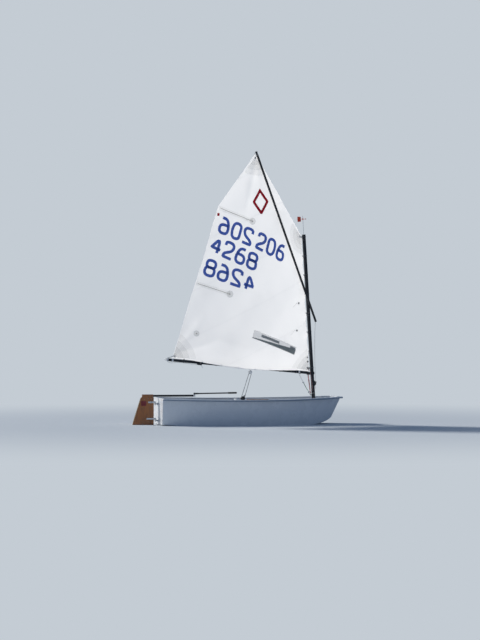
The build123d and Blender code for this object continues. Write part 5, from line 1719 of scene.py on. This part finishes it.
class DINGHY_OT_stage(Operator):
    """Sets the camera, the floor at the waterline and plain soft light"""

    bl_idname = "dinghy.stage"
    bl_label = "Stage"

    def execute(self, context):
        scene = context.scene
        settings = scene.dinghy_stage
        lens = bpy.data.cameras.new("view")
        lens.sensor_fit = "VERTICAL"
        lens.sensor_height = 36.0
        lens.lens = settings.lens
        lens.clip_end = 500.0
        camera = bpy.data.objects.new("view", lens)
        scene.collection.objects.link(camera)
        # where the photograph was taken from, its heading and how far it looks up
        camera.location = (-5.369, -27.075, 1.124)
        east, north, tilt = 0.1908, 0.9817, np.radians(0.375)
        ahead = Vector((east * np.cos(tilt), north * np.cos(tilt), np.sin(tilt)))
        camera.rotation_euler = ahead.to_track_quat("-Z", "Y").to_euler()
        scene.camera = camera
        self.floor(settings)
        self.lamps(scene, settings)
        scene.view_settings.view_transform = "Standard"
        return {"FINISHED"}

    def floor(self, settings):
        """Floor at the waterline: rings from the hull's outline there out to a far circle. The outline's half
        breadth is the widest chord between any two points where the hull's edges cross the waterline, less
        6 mm, so that the floor's rim lies inside the hull."""
        inside, radius = 0.006, 90.0
        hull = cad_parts["hull_shell"].data
        points = rows_of(hull)
        edges = np.zeros(len(hull.edges) * 2, np.int32)
        hull.edges.foreach_get("vertices", edges)
        start, end = points[edges[::2]], points[edges[1::2]]
        crosses = start[:, 2] * end[:, 2] < 0
        start, end = start[crosses], end[crosses]
        share = start[:, 2] / (start[:, 2] - end[:, 2])
        cut = start + (end - start) * share[:, None]
        ahead, breadth = cut[:, 0], np.abs(cut[:, 1])
        low, high = ahead.min() + 0.004, ahead.max() - 0.004
        along = low + (high - low) * (1 - np.cos(np.linspace(0, np.pi, 60))) / 2
        share = (along[:, None, None] - ahead[:, None]) / np.maximum(ahead - ahead[:, None], 1e-6)
        chord = breadth[:, None] + share * (breadth - breadth[:, None])
        half = np.where((share >= 0) & (share <= 1), chord, 0).max((1, 2)) - inside
        outline = np.concatenate([np.stack([along, -half], 1), np.stack([along, half], 1)[::-1]])
        shares = np.linspace(0, 1, 26) ** 3
        rings = outline + (unit(outline) * radius - outline) * shares[:, None, None]
        grid = np.concatenate([rings, np.zeros(rings.shape[:2] + (1,))], -1)
        shells = Shells().grid(grid, False, True)
        backdrop = tuple(settings.floor)
        finish = Finish("floor", backdrop)
        finish.rough(0.9)
        first, second = finish.axis(0), finish.axis(1)
        away = (first * first + second * second) ** 0.5
        seen, glossy, passed = (
            finish.node("ShaderNodeLightPath", {}, {}, ray)
            for ray in ("Is Camera Ray", "Is Glossy Ray", "Is Transmission Ray")
        )
        looking = seen.math("MAXIMUM", glossy.math("MAXIMUM", passed))
        finish.paint(finish.tint(backdrop, shaded(backdrop, 0.97), finish.noise(1.5, 3.0)))
        glow = finish.node("ShaderNodeEmission", {}, {"Color": backdrop, "Strength": 1.0})
        finish.show(finish.mix(away.step(2.0, 9.0) * looking, finish.shader.outputs[0], glow))
        shells.piece("floor", "floor", "hull", None, closed=False, sharp=0)

    def lamps(self, scene, settings):
        """Light all round from the world, whose own colour the camera doesn't see, and two distant lamps."""
        world = bpy.data.worlds.new("studio")
        scene.world = world
        world.use_nodes = True
        tree = world.node_tree
        tree.nodes.clear()
        output = tree.nodes.new("ShaderNodeOutputWorld")
        mix = tree.nodes.new("ShaderNodeMixShader")
        path = tree.nodes.new("ShaderNodeLightPath")
        shade = tree.nodes.new("ShaderNodeBackground")
        shade.inputs[0].default_value = (*light((170, 204, 250)), 1.0)
        shade.inputs[1].default_value = settings.sky
        seen = tree.nodes.new("ShaderNodeBackground")
        seen.inputs[0].default_value = (*settings.floor, 1.0)
        seen.inputs[1].default_value = 1.0
        tree.links.new(path.outputs["Is Camera Ray"], mix.inputs[0])
        tree.links.new(shade.outputs[0], mix.inputs[1])
        tree.links.new(seen.outputs[0], mix.inputs[2])
        tree.links.new(mix.outputs[0], output.inputs[0])
        # name, direction that the light comes from, strength, spread in degrees, colour
        lamps = (
            ("key", (-0.68, 0.57, 0.46), settings.key, 12.0, (255, 250, 241)),
            ("fill", (-0.30, -0.95, 0.50), settings.fill, 60.0, (226, 236, 252)),
        )
        for name, way, strength, spread, colour in lamps:
            lamp = bpy.data.lights.new(name, "SUN")
            lamp.energy = strength
            lamp.angle = np.radians(spread)
            lamp.color = light(colour)
            placed = bpy.data.objects.new(name, lamp)
            scene.collection.objects.link(placed)
            placed.rotation_euler = Vector(way).to_track_quat("Z", "Y").to_euler()


class DINGHY_PT_sidebar(Panel):
    """Lists the dinghy's pieces and their settings"""

    bl_idname = "DINGHY_PT_sidebar"
    bl_label = "Dinghy"
    bl_space_type = "VIEW_3D"
    bl_region_type = "UI"
    bl_category = "Dinghy"

    def draw(self, context):
        """One box of settings for each group, then a button for each operator."""
        for group, _ in GROUPS:
            settings = getattr(context.scene, group)
            box = self.layout.box()
            for key in settings.__annotations__:
                box.prop(settings, key)
        for operator in OPERATORS:
            self.layout.operator(operator.bl_idname)


GROUPS = (("dinghy_sail", DinghySail), ("dinghy_hull", DinghyHull), ("dinghy_stage", DinghyStage))
OPERATORS = (
    DINGHY_OT_stage,
    DINGHY_OT_finishes,
    DINGHY_OT_sail,
    DINGHY_OT_battens,
    DINGHY_OT_figures,
    DINGHY_OT_window,
    DINGHY_OT_lashings,
    DINGHY_OT_lines,
    DINGHY_OT_sheet_line,
    DINGHY_OT_bags,
    DINGHY_OT_straps,
    DINGHY_OT_fastenings,
)


def register():
    """Adds the settings to the scene and the operators and the panel to Blender."""
    for name, group in GROUPS:
        bpy.utils.register_class(group)
        setattr(bpy.types.Scene, name, PointerProperty(type=group))
    for cls in (*OPERATORS, DINGHY_PT_sidebar):
        bpy.utils.register_class(cls)


def unregister():
    """Takes out again what register adds, last first."""
    for cls in (DINGHY_PT_sidebar, *reversed(OPERATORS)):
        bpy.utils.unregister_class(cls)
    for name, group in reversed(GROUPS):
        delattr(bpy.types.Scene, name)
        bpy.utils.unregister_class(group)


def main():
    """Runs every operator in order."""
    register()
    for operator in OPERATORS:
        area, name = operator.bl_idname.split(".")
        getattr(getattr(bpy.ops, area), name)()


if __name__ == "__main__":
    main()
